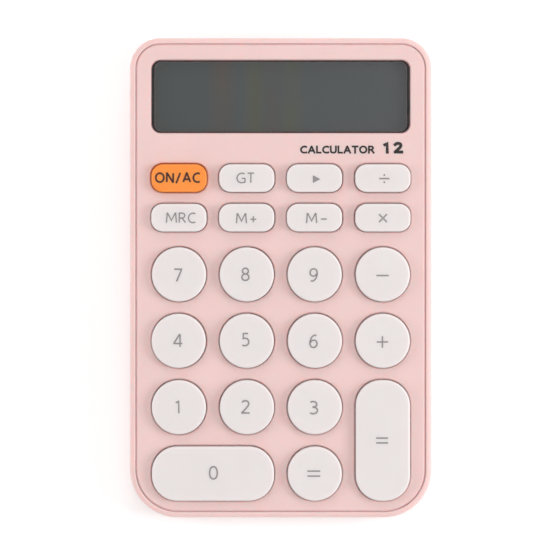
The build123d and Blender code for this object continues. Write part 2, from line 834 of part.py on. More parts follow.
spring_pitch = (spring_length - 2 * spring_wire) / spring_turns
spring_plate = contact_plate(-1)
with BuildPart() as battery_spring:
    add(spring_plate)
    with BuildLine() as coil:
        Helix(
            spring_pitch, spring_pitch * spring_turns, spring_radius,
            center=(spring_x + spring_bite, bay_y, cell_z), direction=(1, 0, 0),
        )
    with BuildSketch(Plane(origin=coil.line @ 0, z_dir=coil.line % 0)):
        Circle(spring_wire)
    sweep(path=coil.line, is_frenet=True)
battery_spring.part.label = "battery_spring"
export_step(battery_spring.part, "parts/battery_spring.step")


# ---------------------------------------------------------------- battery leads
def bend_radii(points):
    """One radius for each bend: 0.45 of its shorter run over the tangent of half its turn."""
    radii = []
    for before, corner, after in zip(points, points[1:], points[2:]):
        run_in = corner - before
        run_out = after - corner
        half_turn = radians(run_in.get_angle(run_out)) / 2
        radii.append(0.45 * min(run_in.length, run_out.length) / tan(half_turn))
    return radii


def lead(name, points):
    """An insulated wire along straight runs joined by tangent arcs."""
    radii = bend_radii(points)
    print(name, "bends", [round(radius, 2) for radius in radii])
    with BuildPart() as wire:
        with BuildLine() as route:
            FilletPolyline(*points, radius=radii)
        with BuildSketch(Plane(origin=route.line @ 0, z_dir=route.line % 0)):
            Circle(lead_radius)
        sweep(path=route.line)
    length = sum(edge.length for edge in route.edges())
    print(name, "volume ratio", round(wire.part.volume / (pi * lead_radius**2 * length), 4))
    return wire.part


def lead_points(side):
    """From a contact's tab, round the end of the bay and up to the board's underside."""
    tab_end = side * (bay_length / 2 - contact_thickness + tab_length)
    return [
        Vector(tab_end, bay_y, cell_z),
        Vector(tab_end + side * 5.0, bay_y - 1.0, cell_z - 0.5),
        Vector(tab_end + side * 7.0, bay_y - 8.0, cell_z - 1.5),
        Vector(tab_end + side * 5.0, bay_y - 15.0, cell_z - 1.0),
        deck_point(tab_end, body_length / 2 - 36.0, board_under - 4.0),
        deck_point(tab_end, body_length / 2 - 36.0, board_under),
    ]


red_lead = lead("red_lead", lead_points(1))
red_lead.label = "red_lead"
export_step(red_lead, "parts/red_lead.step")

black_lead = lead("black_lead", lead_points(-1))
black_lead.label = "black_lead"
export_step(black_lead, "parts/black_lead.step")

# ---------------------------------------------------------------- battery door
grip_middle = (door_front + rear_y) / 2 + grip_shift
with BuildPart() as battery_door:
    add(outer_form.part)
    level_block(-door_half, door_half, door_front, rear_y + past_wall, 0, floor_top, mode=Mode.INTERSECT)
    level_block(
        -door_half - tongue_reach, door_half + tongue_reach, door_front, rear_y - tongue_stop,
        tongue_z, tongue_z + tongue_thickness,
    )
    level_block(
        -front_tab_half, front_tab_half, door_front - tongue_reach, door_front + tongue_root,
        tongue_z, tongue_z + tongue_thickness,
    )
    with BuildSketch(Plane.XY.offset(foot_stand)):
        with Locations((0, grip_middle)):
            with GridLocations(1, grip_pitch, 1, grip_count):
                SlotOverall(grip_length, grip_width)
    extrude(amount=grip_depth, mode=Mode.SUBTRACT)
battery_door.part.label = "battery_door"
export_step(battery_door.part, "parts/battery_door.step")

# ---------------------------------------------------------------- feet
with BuildPart() as rubber_feet:
    with BuildSketch(Plane.XY):
        with Locations(*foot_places):
            Circle(foot_radius)
    extrude(amount=foot_stand + foot_recess)
    fillet(rubber_feet.edges().group_by(Axis.Z)[0], foot_round)
rubber_feet.part.label = "rubber_feet"
export_step(rubber_feet.part, "parts/rubber_feet.step")
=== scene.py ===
"""Finishes, printing, display and studio for a desk calculator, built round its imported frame.

The frame gives every rigid piece in metres, at rest. This file dresses those pieces, prints the key
legends and the strip below the window, makes the soft mat with its domes and pills, and sets up a
plain studio. Face work is done on the deck, the sloping plane of the face: x to the user's right,
y up the slope, and height square to the face.
"""

from __future__ import annotations

import json
import logging
import math
from dataclasses import dataclass, field
from enum import Enum
from typing import Mapping, Sequence, Union

import bpy
import numpy as np
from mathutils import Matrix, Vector
from mathutils.geometry import delaunay_2d_cdt

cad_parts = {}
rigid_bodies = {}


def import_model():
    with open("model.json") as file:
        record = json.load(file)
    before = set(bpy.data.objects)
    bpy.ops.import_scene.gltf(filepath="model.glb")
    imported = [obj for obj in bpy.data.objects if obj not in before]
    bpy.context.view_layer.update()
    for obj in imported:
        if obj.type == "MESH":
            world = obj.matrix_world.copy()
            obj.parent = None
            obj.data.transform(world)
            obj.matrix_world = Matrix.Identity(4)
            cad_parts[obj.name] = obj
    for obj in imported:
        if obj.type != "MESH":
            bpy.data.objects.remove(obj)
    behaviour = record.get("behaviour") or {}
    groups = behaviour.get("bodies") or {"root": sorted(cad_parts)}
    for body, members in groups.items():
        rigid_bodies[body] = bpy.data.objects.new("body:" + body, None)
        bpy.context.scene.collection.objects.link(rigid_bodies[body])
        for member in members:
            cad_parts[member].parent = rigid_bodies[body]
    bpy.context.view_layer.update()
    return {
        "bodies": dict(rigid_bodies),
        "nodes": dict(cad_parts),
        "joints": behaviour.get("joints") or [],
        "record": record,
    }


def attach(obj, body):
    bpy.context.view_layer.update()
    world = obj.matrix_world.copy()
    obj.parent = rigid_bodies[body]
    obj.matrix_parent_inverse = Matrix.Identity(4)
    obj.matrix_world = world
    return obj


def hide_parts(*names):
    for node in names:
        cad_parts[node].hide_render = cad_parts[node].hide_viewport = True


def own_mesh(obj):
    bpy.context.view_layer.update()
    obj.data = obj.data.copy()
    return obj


LOG = logging.getLogger("calculator")
MM = 0.001

# Faces that meet at more than this angle keep a sharp edge between them.
SHARP_ANGLE = math.radians(38.0)
# Distances in metres: between the ends of a closed stroke, of a run too short to keep in a stroke,
# and between two corners of a plate that count as one.
CLOSED_WITHIN = 1e-6
NO_LENGTH = 1e-9
SAME_CORNER = 1e-7

Array = np.ndarray
Colour = tuple[float, float, float]
Span = tuple[float, float]


# ---------------------------------------------------------------------------------- the deck
@dataclass(frozen=True)
class Deck:
    """The sloping plane of the face, with its own x, y and height."""

    origin: Array
    across: Array
    up_slope: Array
    normal: Array

    @classmethod
    def from_frame(cls, frame: Mapping) -> "Deck":
        """Read the slope from a key's travel and the level from the face panel.

        Args:
            frame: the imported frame, with its joints and nodes.

        Returns:
            The deck, with its origin in the middle of the face panel's top.
        """
        joint = next(j for j in frame["joints"] if j["name"].startswith("press_"))
        normal = -np.array(joint["axis"], float)
        normal /= np.linalg.norm(normal)
        across = np.array([1.0, 0.0, 0.0])
        up_slope = np.cross(normal, across)
        panel = points_of(frame["nodes"]["front_panel"])
        along = panel @ up_slope
        top = (panel @ normal).max()
        origin = up_slope * (along.min() + along.max()) / 2 + normal * top
        return cls(origin, across, up_slope, normal)

    @property
    def axes(self) -> Array:
        """The deck's three directions, one to a row."""
        return np.stack([self.across, self.up_slope, self.normal])

    def place(self, local: Array) -> Array:
        """Turn points on the deck, (..., 3) in metres, into the shared frame's."""
        return self.origin + local @ self.axes

    def coordinates(self, node: bpy.types.Object) -> Array:
        """Give a piece's points in deck coordinates, as (n, 3)."""
        return (points_of(node) - self.origin) @ self.axes.T

    def measure(self, node: bpy.types.Object) -> tuple[Array, Array]:
        """Give a piece's lowest and highest deck coordinates."""
        local = self.coordinates(node)
        return local.min(axis=0), local.max(axis=0)


def points_of(node: bpy.types.Object) -> Array:
    """Read a mesh object's vertices.

    Args:
        node: the object.

    Returns:
        Its points as (n, 3).
    """
    flat = np.empty(len(node.data.vertices) * 3, np.float32)
    node.data.vertices.foreach_get("co", flat)
    return flat.reshape(-1, 3).astype(float)


# ---------------------------------------------------------------------------------- outlines
def rounded_outline(low: Array, high: Array, radii: Sequence[float], steps: int = 16) -> Array:
    """Trace a rectangle with its own radius at each corner, anticlockwise.

    Each corner is a quarter circle, centre + radius * (cos, sin), and the straight sides are the
    chords between one corner's end and the next one's start.

    Args:
        low: the lowest x and y.
        high: the highest x and y.
        radii: the radius at the far right, far left, near left and near right corners.
        steps: chords on each corner.

    Returns:
        The points, (n, 2).
    """
    corner = np.repeat(np.arange(4), steps + 1)
    turn = np.tile(np.linspace(0.0, math.pi / 2, steps + 1), 4) + corner * math.pi / 2
    signs = np.array([[1, 1], [-1, 1], [-1, -1], [1, -1]], float)[corner]
    radius = np.array(radii)[corner, None]
    half = (high - low) / 2
    centres = (low + high) / 2 + signs * (half - radius)
    return centres + radius * np.stack([np.cos(turn), np.sin(turn)], axis=1)


def circle(centre: Sequence[float], radius: float, count: int = 40) -> Array:
    """A circle's points, centre + radius * (cos, sin), anticlockwise, as (count, 2)."""
    turn = np.linspace(0.0, 2 * math.pi, count, endpoint=False)
    return np.array(centre) + radius * np.stack([np.cos(turn), np.sin(turn)], axis=1)


def at_height(flat: Array, height: float) -> Array:
    """Flat points lifted to one height, as (n, 3)."""
    return np.concatenate([flat, np.full((len(flat), 1), height)], axis=1)


def turned_rings(centre: Sequence[float], profile: Array, count: int = 40) -> Array:
    """Turn a profile about an upright axis.

    A ring's points are centre + radius * (cos, sin) at the ring's height.

    Args:
        centre: the axis's place on the deck.
        profile: rows of (radius, height), (k, 2).
        count: points in each ring.

    Returns:
        Rings as (k, count, 3).
    """
    return np.array([at_height(circle(centre, radius, count), height) for radius, height in profile])


def cluster_centres(flat: Array, reach: float) -> list[Array]:
    """Give the middle of each group of points.

    A group is every point within reach of the first one left over.

    Args:
        flat: points as (n, 2).
        reach: the widest a group can be from its first point.

    Returns:
        The middle of each group's box.
    """
    centres = []
    while len(flat):
        near = np.linalg.norm(flat - flat[0], axis=1) < reach
        group = flat[near]
        centres.append((group.min(axis=0) + group.max(axis=0)) / 2)
        flat = flat[~near]
    return centres


# ---------------------------------------------------------------------------------- meshes
def make_object(
    name: str, points: Array, faces: Sequence[Sequence[int]], smooth: bool = True,
) -> bpy.types.Object:
    """Put points and faces into a new object at the origin.

    Args:
        name: the piece's name.
        points: (n, 3), in the shared frame.
        faces: vertex numbers, anticlockwise seen from outside.
        smooth: whether the faces are shaded smooth, with sharp edges kept by angle.

    Returns:
        The linked object.
    """
    mesh = bpy.data.meshes.new(name)
    mesh.from_pydata(points.tolist(), [], faces)
    mesh.update()
    if smooth:
        mesh.polygons.foreach_set("use_smooth", np.ones(len(mesh.polygons), bool))
        mesh.set_sharp_from_angle(angle=SHARP_ANGLE)
    piece = bpy.data.objects.new(name, mesh)
    bpy.context.scene.collection.objects.link(piece)
    return piece


def dress(piece: bpy.types.Object, material: bpy.types.Material) -> None:
    """Give a piece one material in all its slots.

    Args:
        piece: the object.
        material: what it is made of.
    """
    if not piece.data.materials:
        piece.data.materials.append(material)
    for i in range(len(piece.data.materials)):
        piece.data.materials[i] = material


def ring_faces(rings: int, count: int) -> Array:
    """Number the quads between neighbouring closed rings of equal length, from point 0.

    Quad (i, j) joins point j and j + 1 of ring i to those of ring i + 1.

    Args:
        rings: how many rings.
        count: points in each.

    Returns:
        Quads as (m, 4).
    """
    i = np.arange(rings - 1)[:, None] * count
    j = np.arange(count)[None]
    k = (j + 1) % count
    quads = np.stack([i + j, i + k, i + count + k, i + count + j], axis=2)
    return quads.reshape(-1, 4)


class MeshBuilder:
    """Collects closed surfaces on the deck and makes one object of them."""

    def __init__(self, deck: Deck) -> None:
        """Start an empty mesh.

        Args:
            deck: the deck that its points are given on.
        """
        self.deck = deck
        self.points: list[Array] = []
        self.faces: list[list[int]] = []
        self.count = 0

    def _append(self, points: Array, *groups: Array) -> "MeshBuilder":
        """Take on a surface.

        Args:
            points: (n, 3) in deck coordinates.
            *groups: faces between these points, numbered from the first of them.

        Returns:
            The builder itself.
        """
        for faces in groups:
            self.faces.extend((faces + self.count).tolist())
        self.points.append(points)
        self.count += len(points)
        return self

    def add_rings(self, rings: Array) -> "MeshBuilder":
        """Skin a stack of closed rings, and close its ends with flat faces.

        Args:
            rings: (k, n, 3) in deck coordinates, each anticlockwise seen from above, the first lowest
                on the way round the surface from outside.

        Returns:
            The builder itself.
        """
        rows, count, _ = rings.shape
        ring = np.arange(count)[None]
        last = ring + (rows - 1) * count
        return self._append(rings.reshape(-1, 3), ring_faces(rows, count), ring[:, ::-1], last)

    def add_loop(self, rings: Array) -> "MeshBuilder":
        """Skin rings that return to the first one, as a torus does.

        Args:
            rings: (k, n, 3) in deck coordinates, without the first one again at the end.

        Returns:
            The builder itself.
        """
        rows, count, _ = rings.shape
        return self._append(rings.reshape(-1, 3), ring_faces(rows + 1, count) % (rows * count))

    def add_plate(
        self, outline: Array, holes: Sequence[tuple[Array, float]], low: float, high: float,
    ) -> "MeshBuilder":
        """Add a flat plate with round holes.

        The outline and the holes' rims are joined into triangles by a constrained Delaunay net, and
        those whose middle lies inside a hole are dropped. Walls stand on the edges that only one
        triangle has.

        Args:
            outline: a convex outline, (n, 2), anticlockwise.
            holes: each hole's centre and radius.
            low: the plate's underside.
            high: its top.

        Returns:
            The builder itself.
        """
        loops = [outline] + [circle(centre, radius) for centre, radius in holes]
        starts = np.cumsum([0] + [len(loop) for loop in loops])
        edges = [
            (start + i, start + (i + 1) % len(loop))
            for start, loop in zip(starts, loops)
            for i in range(len(loop))
        ]
        corners = [Vector(p) for p in np.concatenate(loops).tolist()]
        net = delaunay_2d_cdt(corners, edges, [], 0, SAME_CORNER)
        flat = np.array([list(p) for p in net[0]])
        faces = np.array([list(face) for face in net[2]])
        middles = flat[faces].mean(axis=1)
        kept = np.ones(len(faces), bool)
        for centre, radius in holes:
            kept &= np.linalg.norm(middles - centre, axis=1) > radius
        faces = faces[kept]
        directed = np.concatenate([faces[:, [0, 1]], faces[:, [1, 2]], faces[:, [2, 0]]])
        codes = directed[:, 0] * len(flat) + directed[:, 1]
        mirrored = directed[:, 1] * len(flat) + directed[:, 0]
        rim = directed[~np.isin(codes, mirrored)]
        walls = np.stack([rim[:, 0], rim[:, 1], rim[:, 1], rim[:, 0]], axis=1)
        walls[:, 2:] += len(flat)
        points = np.concatenate([at_height(flat, low), at_height(flat, high)])
        return self._append(points, faces + len(flat), faces[:, ::-1], walls)

    def build(self, name: str, smooth: bool = True) -> bpy.types.Object:
        """Make the object, with its points placed in the shared frame."""
        return make_object(name, self.deck.place(np.concatenate(self.points)), self.faces, smooth)


# ---------------------------------------------------------------------------------- shader maths
Input = Union["Value", bpy.types.NodeSocket, float, Sequence[float]]


class Value:
    """A shader socket that adds its Math nodes when Python's operators are used on it."""

    def __init__(self, sheet: "Sheet", socket: bpy.types.NodeSocket) -> None:
        """Wrap one output socket of a sheet's nodes."""
        self.sheet = sheet
        self.socket = socket

    def _math(self, operation: str, *operands: Input) -> "Value":
        """Add a Math node on these operands."""
        return self.sheet.add("ShaderNodeMath", {"operation": operation}, dict(enumerate(operands)))

    def __add__(self, other: Input) -> "Value":
        """Sum."""
        return self._math("ADD", self, other)

    def __radd__(self, other: Input) -> "Value":
        """Sum with a number on the left."""
        return self._math("ADD", other, self)

    def __sub__(self, other: Input) -> "Value":
        """Difference."""
        return self._math("SUBTRACT", self, other)

    def __rsub__(self, other: Input) -> "Value":
        """A number less this."""
        return self._math("SUBTRACT", other, self)

    def __mul__(self, other: Input) -> "Value":
        """Product."""
        return self._math("MULTIPLY", self, other)

    def __rmul__(self, other: Input) -> "Value":
        """Product with a number on the left."""
        return self._math("MULTIPLY", other, self)

    def __truediv__(self, other: Input) -> "Value":
        """Quotient."""
        return self._math("DIVIDE", self, other)

    def __rtruediv__(self, other: Input) -> "Value":
        """A number over this."""
        return self._math("DIVIDE", other, self)

    def absolute(self) -> "Value":
        """Size without sign."""
        return self._math("ABSOLUTE", self)

    def sine(self) -> "Value":
        """Sine of an angle in radians."""
        return self._math("SINE", self)

    def clamped(self) -> "Value":
        """Held between 0 and 1."""
        return self.sheet.add("ShaderNodeClamp", {}, {"Value": self})

    def between(self, low: float, high: float) -> "Value":
        """Smoothly 0 at low and 1 at high."""
        inputs = {"Value": self, "From Min": low, "From Max": high}
        return self.sheet.add("ShaderNodeMapRange", {"interpolation_type": "SMOOTHSTEP"}, inputs)


class Sheet:
    """One material's node tree."""

    def __init__(self, name: str) -> None:
        """Start a material with only its output.

        Args:
            name: the material's name.
        """
        self.material = bpy.data.materials.new(name)
        self.material.use_nodes = True
        self.tree = self.material.node_tree
        self.tree.nodes.clear()
        self.out = self.tree.nodes.new("ShaderNodeOutputMaterial")

    def add(
        self, kind: str, settings: Mapping[str, object], inputs: Mapping, output: Union[str, int] = 0,
    ) -> Value:
        """Add a node: its settings first, then its sockets.

        Args:
            kind: the node's type.
            settings: its properties, such as an operation.
            inputs: socket names or numbers to values or links.
            output: which output to give back.

        Returns:
            That output.
        """
        node = self.tree.nodes.new(kind)
        for key, setting in settings.items():
            setattr(node, key, setting)
        for key, value in inputs.items():
            self.feed(node.inputs[key], value)
        return Value(self, node.outputs[output])

    def feed(self, socket: bpy.types.NodeSocket, value: Input) -> None:
        """Link a socket, or set its own value; a colour is given full alpha.

        Args:
            socket: the input socket.
            value: a link, a number, a vector or a colour.
        """
        if isinstance(value, Value):
            self.tree.links.new(value.socket, socket)
        elif isinstance(value, (int, float)) or socket.type == "VECTOR":
            socket.default_value = value
        else:
            socket.default_value = (*value, 1.0)

    def place(self) -> Value:
        """The surface's place in the shared frame, in metres."""
        return self.add("ShaderNodeTexCoord", {}, {}, "Object")

    def split(self, vector: Value) -> tuple[Value, Value, Value]:
        """Give a vector's three parts.

        Args:
            vector: the vector.

        Returns:
            Its x, y and z.
        """
        first = self.add("ShaderNodeSeparateXYZ", {}, {0: vector})
        outputs = first.socket.node.outputs
        return first, Value(self, outputs[1]), Value(self, outputs[2])

    def stretched(self, vector: Value, scale: Sequence[float]) -> Value:
        """A vector with each part scaled."""
        return self.add("ShaderNodeVectorMath", {"operation": "MULTIPLY"}, {0: vector, 1: scale})

    def noise(self, scale: float, detail: float = 2.0, vector: Value | None = None) -> Value:
        """Fractal noise, about 0.5, with features 1 / scale metres across."""
        vector = vector or self.place()
        return self.add("ShaderNodeTexNoise", {}, {"Vector": vector, "Scale": scale, "Detail": detail})

    def streaks(self, scales: Sequence[float], detail: float = 2.0) -> Value:
        """Fractal noise with its own scale along x, y and z."""
        return self.noise(1.0, detail, self.stretched(self.place(), scales))

    def cells(self, scale: float) -> Value:
        """Distance to the nearest of scattered points, in cells 1 / scale metres across."""
        return self.add("ShaderNodeTexVoronoi", {}, {"Vector": self.place(), "Scale": scale})

    def mixed(self, factor: Input, first: Input, second: Input) -> Value:
        """Blend two colours; the colour's own sockets are numbers 6 and 7 in and 2 out."""
        return self.add("ShaderNodeMix", {"data_type": "RGBA"}, {0: factor, 6: first, 7: second}, 2)

    def bumped(self, height: Value, depth: float) -> Value:
        """The normal of a surface raised by height times depth in metres."""
        return self.add("ShaderNodeBump", {}, {"Height": height, "Distance": depth, "Strength": 1.0})

    def finish(self, **sockets: Input) -> bpy.types.Material:
        """Set the surface shader and give the material.

        Args:
            **sockets: the Principled shader's inputs, with underscores for spaces.

        Returns:
            The finished material.
        """
        inputs = {key.replace("_", " "): value for key, value in sockets.items()}
        shader = self.add("ShaderNodeBsdfPrincipled", {}, inputs)
        self.tree.links.new(shader.socket, self.out.inputs["Surface"])
        return self.material


# ---------------------------------------------------------------------------------- finishes
# A finish's scales are in features per metre, its depths in metres, and its ranges are the two noise
# values between which a pattern goes from none to full.
@dataclass(frozen=True)
class MouldedPlastic:
    """Moulded plastic with a fine spark-eroded grain and a faint mottle.

    Below the deck the colour is painted light, lighter and warmer, in place of light that thin edges pass
    on.
    """

    name: str
    colour: Colour
    mottle: float = 0.008
    mottle_scale: float = 55.0
    mottle_range: Span = (0.3, 0.7)
    roughness: float = 0.5
    handling: float = 0.12
    handling_scale: float = 160.0
    grain: float = 5200.0
    grain_depth: float = 0.000012
    grain_roughness: float = 0.1
    pit_spacing: float = 0.6
    pit_share: float = 0.4
    specular: float = 0.4
    coat: float = 0.0
    coat_roughness: float = 0.3
    glow: float = 0.0
    glow_reach: tuple[float, float, float] = (1.0, 0.35, 0.3)
    glow_depth: float = 0.0022
    # Painted light below the deck: its colour and the deck, then the depths over which it takes over.
    painted_gap_light: tuple[Colour, Deck] | None = None
    painted_gap_light_depths: Span = (0.1 * MM, 0.3 * MM)

    def make(self) -> bpy.types.Material:
        """Colour drifts with a broad noise; height is a fine noise and wider cells.

        Returns:
            The material.
        """
        sheet = Sheet(self.name)
        fine = sheet.noise(self.grain)
        pits = sheet.cells(self.grain * self.pit_spacing)
        relief = fine * (1.0 - self.pit_share) + pits * self.pit_share
        handled = sheet.noise(self.handling_scale, detail=4.0)
        uneven = (handled - 0.5) * self.handling + (fine - 0.5) * self.grain_roughness
        return sheet.finish(
            Base_Color=self._base(sheet), Roughness=uneven + self.roughness,
            Normal=sheet.bumped(relief, self.grain_depth), Specular_IOR_Level=self.specular,
            Coat_Weight=self.coat, Coat_Roughness=self.coat_roughness, Subsurface_Weight=self.glow,
            Subsurface_Radius=self.glow_reach, Subsurface_Scale=self.glow_depth,
        )

    def _base(self, sheet: Sheet) -> Value:
        """Blend the mottled colour, then the painted light below the deck by the depth under it.

        Args:
            sheet: the material's nodes.

        Returns:
            The colour.
        """
        deeper = tuple(c * (1.0 - self.mottle * 2) for c in self.colour)
        lighter = tuple(min(1.0, c * (1.0 + self.mottle)) for c in self.colour)
        broad = sheet.noise(self.mottle_scale, detail=3.0)
        colour = sheet.mixed(broad.between(*self.mottle_range), deeper, lighter)
        if not self.painted_gap_light:
            return colour
        # Painted light: below the deck the colour turns lighter and warmer, to lift the shade in the gaps.
        warm, deck = self.painted_gap_light
        parts = zip(sheet.split(sheet.place()), deck.normal.tolist())
        height = sum((part * share for part, share in parts), -float(deck.origin @ deck.normal))
        return sheet.mixed((0.0 - height).between(*self.painted_gap_light_depths), colour, warm)


@dataclass(frozen=True)
class PrintedInk:
    """Pad-printed ink: slightly uneven cover and a satin surface."""

    name: str
    colour: Colour
    cover_scale: float = 4200.0
    cover_range: Span = (0.3, 0.5)
    thinning: float = 0.05
    depth: float = 0.000004
    smoothest: float = 0.48
    uneven: float = 0.15
    uneven_scale: float = 2600.0

    def make(self) -> bpy.types.Material:
        """Cover is a fine noise between the ink's colour and a shade thinner.

        Returns:
            The material.
        """
        sheet = Sheet(self.name)
        cover = sheet.noise(self.cover_scale, detail=3.0).between(*self.cover_range)
        thinner = tuple(c + (1.0 - c) * self.thinning for c in self.colour)
        return sheet.finish(
            Base_Color=sheet.mixed(cover, thinner, self.colour),
            Roughness=sheet.noise(self.uneven_scale) * self.uneven + self.smoothest,
            Normal=sheet.bumped(cover, self.depth),
        )


@dataclass(frozen=True)
class SmokedLens:
    """Smoked acrylic or glass: tinted, polished, with faint wipe marks in its gloss."""

    name: str
    tint: Colour
    alpha: float
    wipes: float = 0.05
    wipe_scales: tuple[float, float, float] = (60.0, 900.0, 900.0)
    wipe_range: Span = (0.35, 0.75)
    smoothest: float = 0.07
    index: float = 1.49
    specular: float = 0.5
    coat: float = 0.4
    coat_roughness: float = 0.05

    def make(self) -> bpy.types.Material:
        """Roughness rises a little along fine streaks across the window.

        Returns:
            The material.
        """
        sheet = Sheet(self.name)
        wiped = sheet.streaks(self.wipe_scales, detail=5.0).between(*self.wipe_range)
        return sheet.finish(
            Base_Color=self.tint, Roughness=wiped * self.wipes + self.smoothest, Alpha=self.alpha,
            IOR=self.index, Specular_IOR_Level=self.specular, Coat_Weight=self.coat,
            Coat_Roughness=self.coat_roughness,
        )


@dataclass(frozen=True)
class Band:
    """A painted reflection: an upright band of colour on the display's film, placed along x in metres."""

    middle: float
    half_width: float
    tone: Colour


@dataclass(frozen=True)
class DisplayFilm:
    """The display's film: grey-green, with painted reflections, lighter to the right and in faint upright
    stripes.
    """

    name: str
    # Painted reflection: the film lightens from the left colour to the right one.
    left: Colour
    right: Colour
    reflection_bands: tuple[Band, ...]
    half_width: float
    waver_scales: tuple[float, float, float] = (60.0, 40.0, 40.0)
    waver_range: Span = (0.25, 0.6)
    weave_scales: tuple[float, float, float] = (9000.0, 600.0, 600.0)
    weave_depth: float = 0.000003
    weave_roughness: float = 0.1
    smoothest: float = 0.4

    def make(self) -> bpy.types.Material:
        """Painted reflections: colour runs from dark left to light right; each band fades from its middle
        out.

        A band's share is 1 - |x - middle| / half width, smoothed, and wavers with a slow noise.

        Returns:
            The material.
        """
        sheet = Sheet(self.name)
        x, _, _ = sheet.split(sheet.place())
        across = (x / (2 * self.half_width) + 0.5).clamped()
        colour = sheet.mixed(across, self.left, self.right)
        waver = sheet.streaks(self.waver_scales).between(*self.waver_range)
        # Painted reflections: upright stripes of warm and green colour.
        for band in self.reflection_bands:
            share = (1.0 - (x - band.middle).absolute() / band.half_width).between(0.0, 1.0)
            colour = sheet.mixed(share * waver, colour, band.tone)
        weave = sheet.streaks(self.weave_scales)
        return sheet.finish(
            Base_Color=colour, Roughness=weave * self.weave_roughness + self.smoothest,
            Normal=sheet.bumped(weave, self.weave_depth),
        )


@dataclass(frozen=True)
class Rubber:
    """Moulded rubber: matt, with soft blotches and a talc-like bloom."""

    name: str
    colour: Colour
    roughness: float = 0.75
    bloom_scale: float = 420.0
    bloom_range: Span = (0.4, 0.75)
    bloom_tone: float = 0.8
    bloom_share: float = 0.12
    bloom_roughness: float = 0.12
    skin_scale: float = 3500.0
    skin_depth: float = 0.00001
    specular: float = 0.3

    def make(self) -> bpy.types.Material:
        """Bloom lightens and dulls the surface where a broad noise is high.

        Returns:
            The material.
        """
        sheet = Sheet(self.name)
        bloom = sheet.noise(self.bloom_scale, detail=5.0).between(*self.bloom_range)
        dusty = tuple(c + (self.bloom_tone - c) * self.bloom_share for c in self.colour)
        return sheet.finish(
            Base_Color=sheet.mixed(bloom, self.colour, dusty),
            Roughness=bloom * self.bloom_roughness + self.roughness,
            Normal=sheet.bumped(sheet.noise(self.skin_scale), self.skin_depth),
            Specular_IOR_Level=self.specular,
        )


@dataclass(frozen=True)
class PlatedMetal:
    """Plated or brushed metal with fine directional scratches."""

    name: str
    colour: Colour
    roughness: float = 0.3
    brushed: tuple[float, float, float] = (600.0, 6000.0, 6000.0)
    scratch_depth: float = 0.000004
    scratch_roughness: float = 0.2
    stain_scale: float = 300.0
    stain_range: Span = (0.45, 0.8)
    stain_shade: float = 0.8
    stain_roughness: float = 0.08

    def make(self) -> bpy.types.Material:
        """Scratches are a noise stretched along one axis, and stains a broad noise.

        Returns:
            The material.
        """
        sheet = Sheet(self.name)
        scratches = sheet.streaks(self.brushed, detail=3.0)
        stain = sheet.noise(self.stain_scale, detail=4.0).between(*self.stain_range)
        duller = tuple(c * self.stain_shade for c in self.colour)
        least = self.roughness - self.scratch_roughness / 2
        return sheet.finish(
            Base_Color=sheet.mixed(stain, self.colour, duller), Metallic=1.0,
            Roughness=scratches * self.scratch_roughness + least + stain * self.stain_roughness,
            Normal=sheet.bumped(scratches, self.scratch_depth),
        )


@dataclass(frozen=True)
class BoardLaminate:
    """Solder-masked board: green mask over a glass weave, with copper just visible under it.

    The weave's and the copper's numbers are radians per metre.
    """

    name: str
    colour: Colour
    weave: float = 5200.0
    weave_share: float = 0.2
    copper: Span = (1400.0, 380.0)
    copper_range: Span = (0.9, 1.1)
    copper_share: float = 0.7
    copper_gain: float = 1.7
    copper_lift: float = 0.01
    depth: float = 0.00002
    roughness: float = 0.35
    coat: float = 0.4
    coat_roughness: float = 0.2

    def make(self) -> bpy.types.Material:
        """Copper shows where a sine along x and one along y add up to about 1 or more.

        The weave is the product of two crossed sines.

        Returns:
            The material.
        """
        sheet = Sheet(self.name)
        x, y, _ = sheet.split(sheet.place())
        weave = (x * self.weave).sine() * (y * self.weave).sine()
        along, across = self.copper
        copper = ((x * along).sine() + (y * across).sine()).between(*self.copper_range)
        brighter = tuple(min(1.0, c * self.copper_gain + self.copper_lift) for c in self.colour)
        return sheet.finish(
            Base_Color=sheet.mixed(copper * self.copper_share, self.colour, brighter),
            Normal=sheet.bumped(weave * self.weave_share + copper, self.depth),
            Roughness=self.roughness, Coat_Weight=self.coat, Coat_Roughness=self.coat_roughness,
        )


@dataclass(frozen=True)
class BandedSleeve:
    """A printed sleeve on a cell or a capacitor: two plain bands of colour."""

    name: str
    main: Colour
    band: Colour
    split_x: float
    blur: float = 0.00008
    wear: float = 0.2
    wear_scale: float = 900.0
    smoothest: float = 0.2
    metallic: float = 0.35
    coat: float = 0.5
    coat_roughness: float = 0.15

    def make(self) -> bpy.types.Material:
        """The colour changes across one plane square to the width.

        Returns:
            The material.
        """
        sheet = Sheet(self.name)
        x, _, _ = sheet.split(sheet.place())
        side = (x - self.split_x).between(-self.blur, self.blur)
        worn = sheet.noise(self.wear_scale, detail=5.0)
        return sheet.finish(
            Base_Color=sheet.mixed(side, self.main, self.band),
            Roughness=worn * self.wear + self.smoothest, Metallic=self.metallic,
            Coat_Weight=self.coat, Coat_Roughness=self.coat_roughness,
        )


@dataclass(frozen=True)
class LayeredRubber:
    """Conductive strip: thin black and pale layers by turns along its length."""

    name: str
    dark: Colour
    pale: Colour
    pitch: float
    blur: float = 0.3
    depth: float = 0.00001
    smoothest: float = 0.55
    bloom: float = 0.2
    bloom_scale: float = 900.0

    def make(self) -> bpy.types.Material:
        """The layers are a sine of this pitch along X, sharpened.

        Returns:
            The material.
        """
        sheet = Sheet(self.name)
        x, _, _ = sheet.split(sheet.place())
        layers = (x * (2 * math.pi / self.pitch)).sine().between(-self.blur, self.blur)
        return sheet.finish(
            Base_Color=sheet.mixed(layers, self.dark, self.pale),
            Roughness=sheet.noise(self.bloom_scale, detail=4.0) * self.bloom + self.smoothest,
            Normal=sheet.bumped(layers, self.depth),
        )


# ---------------------------------------------------------------------------------- lettering
def line(*corners: tuple[float, float]) -> Array:
    """A stroke of straight runs through these corners."""
    return np.array(corners, float)


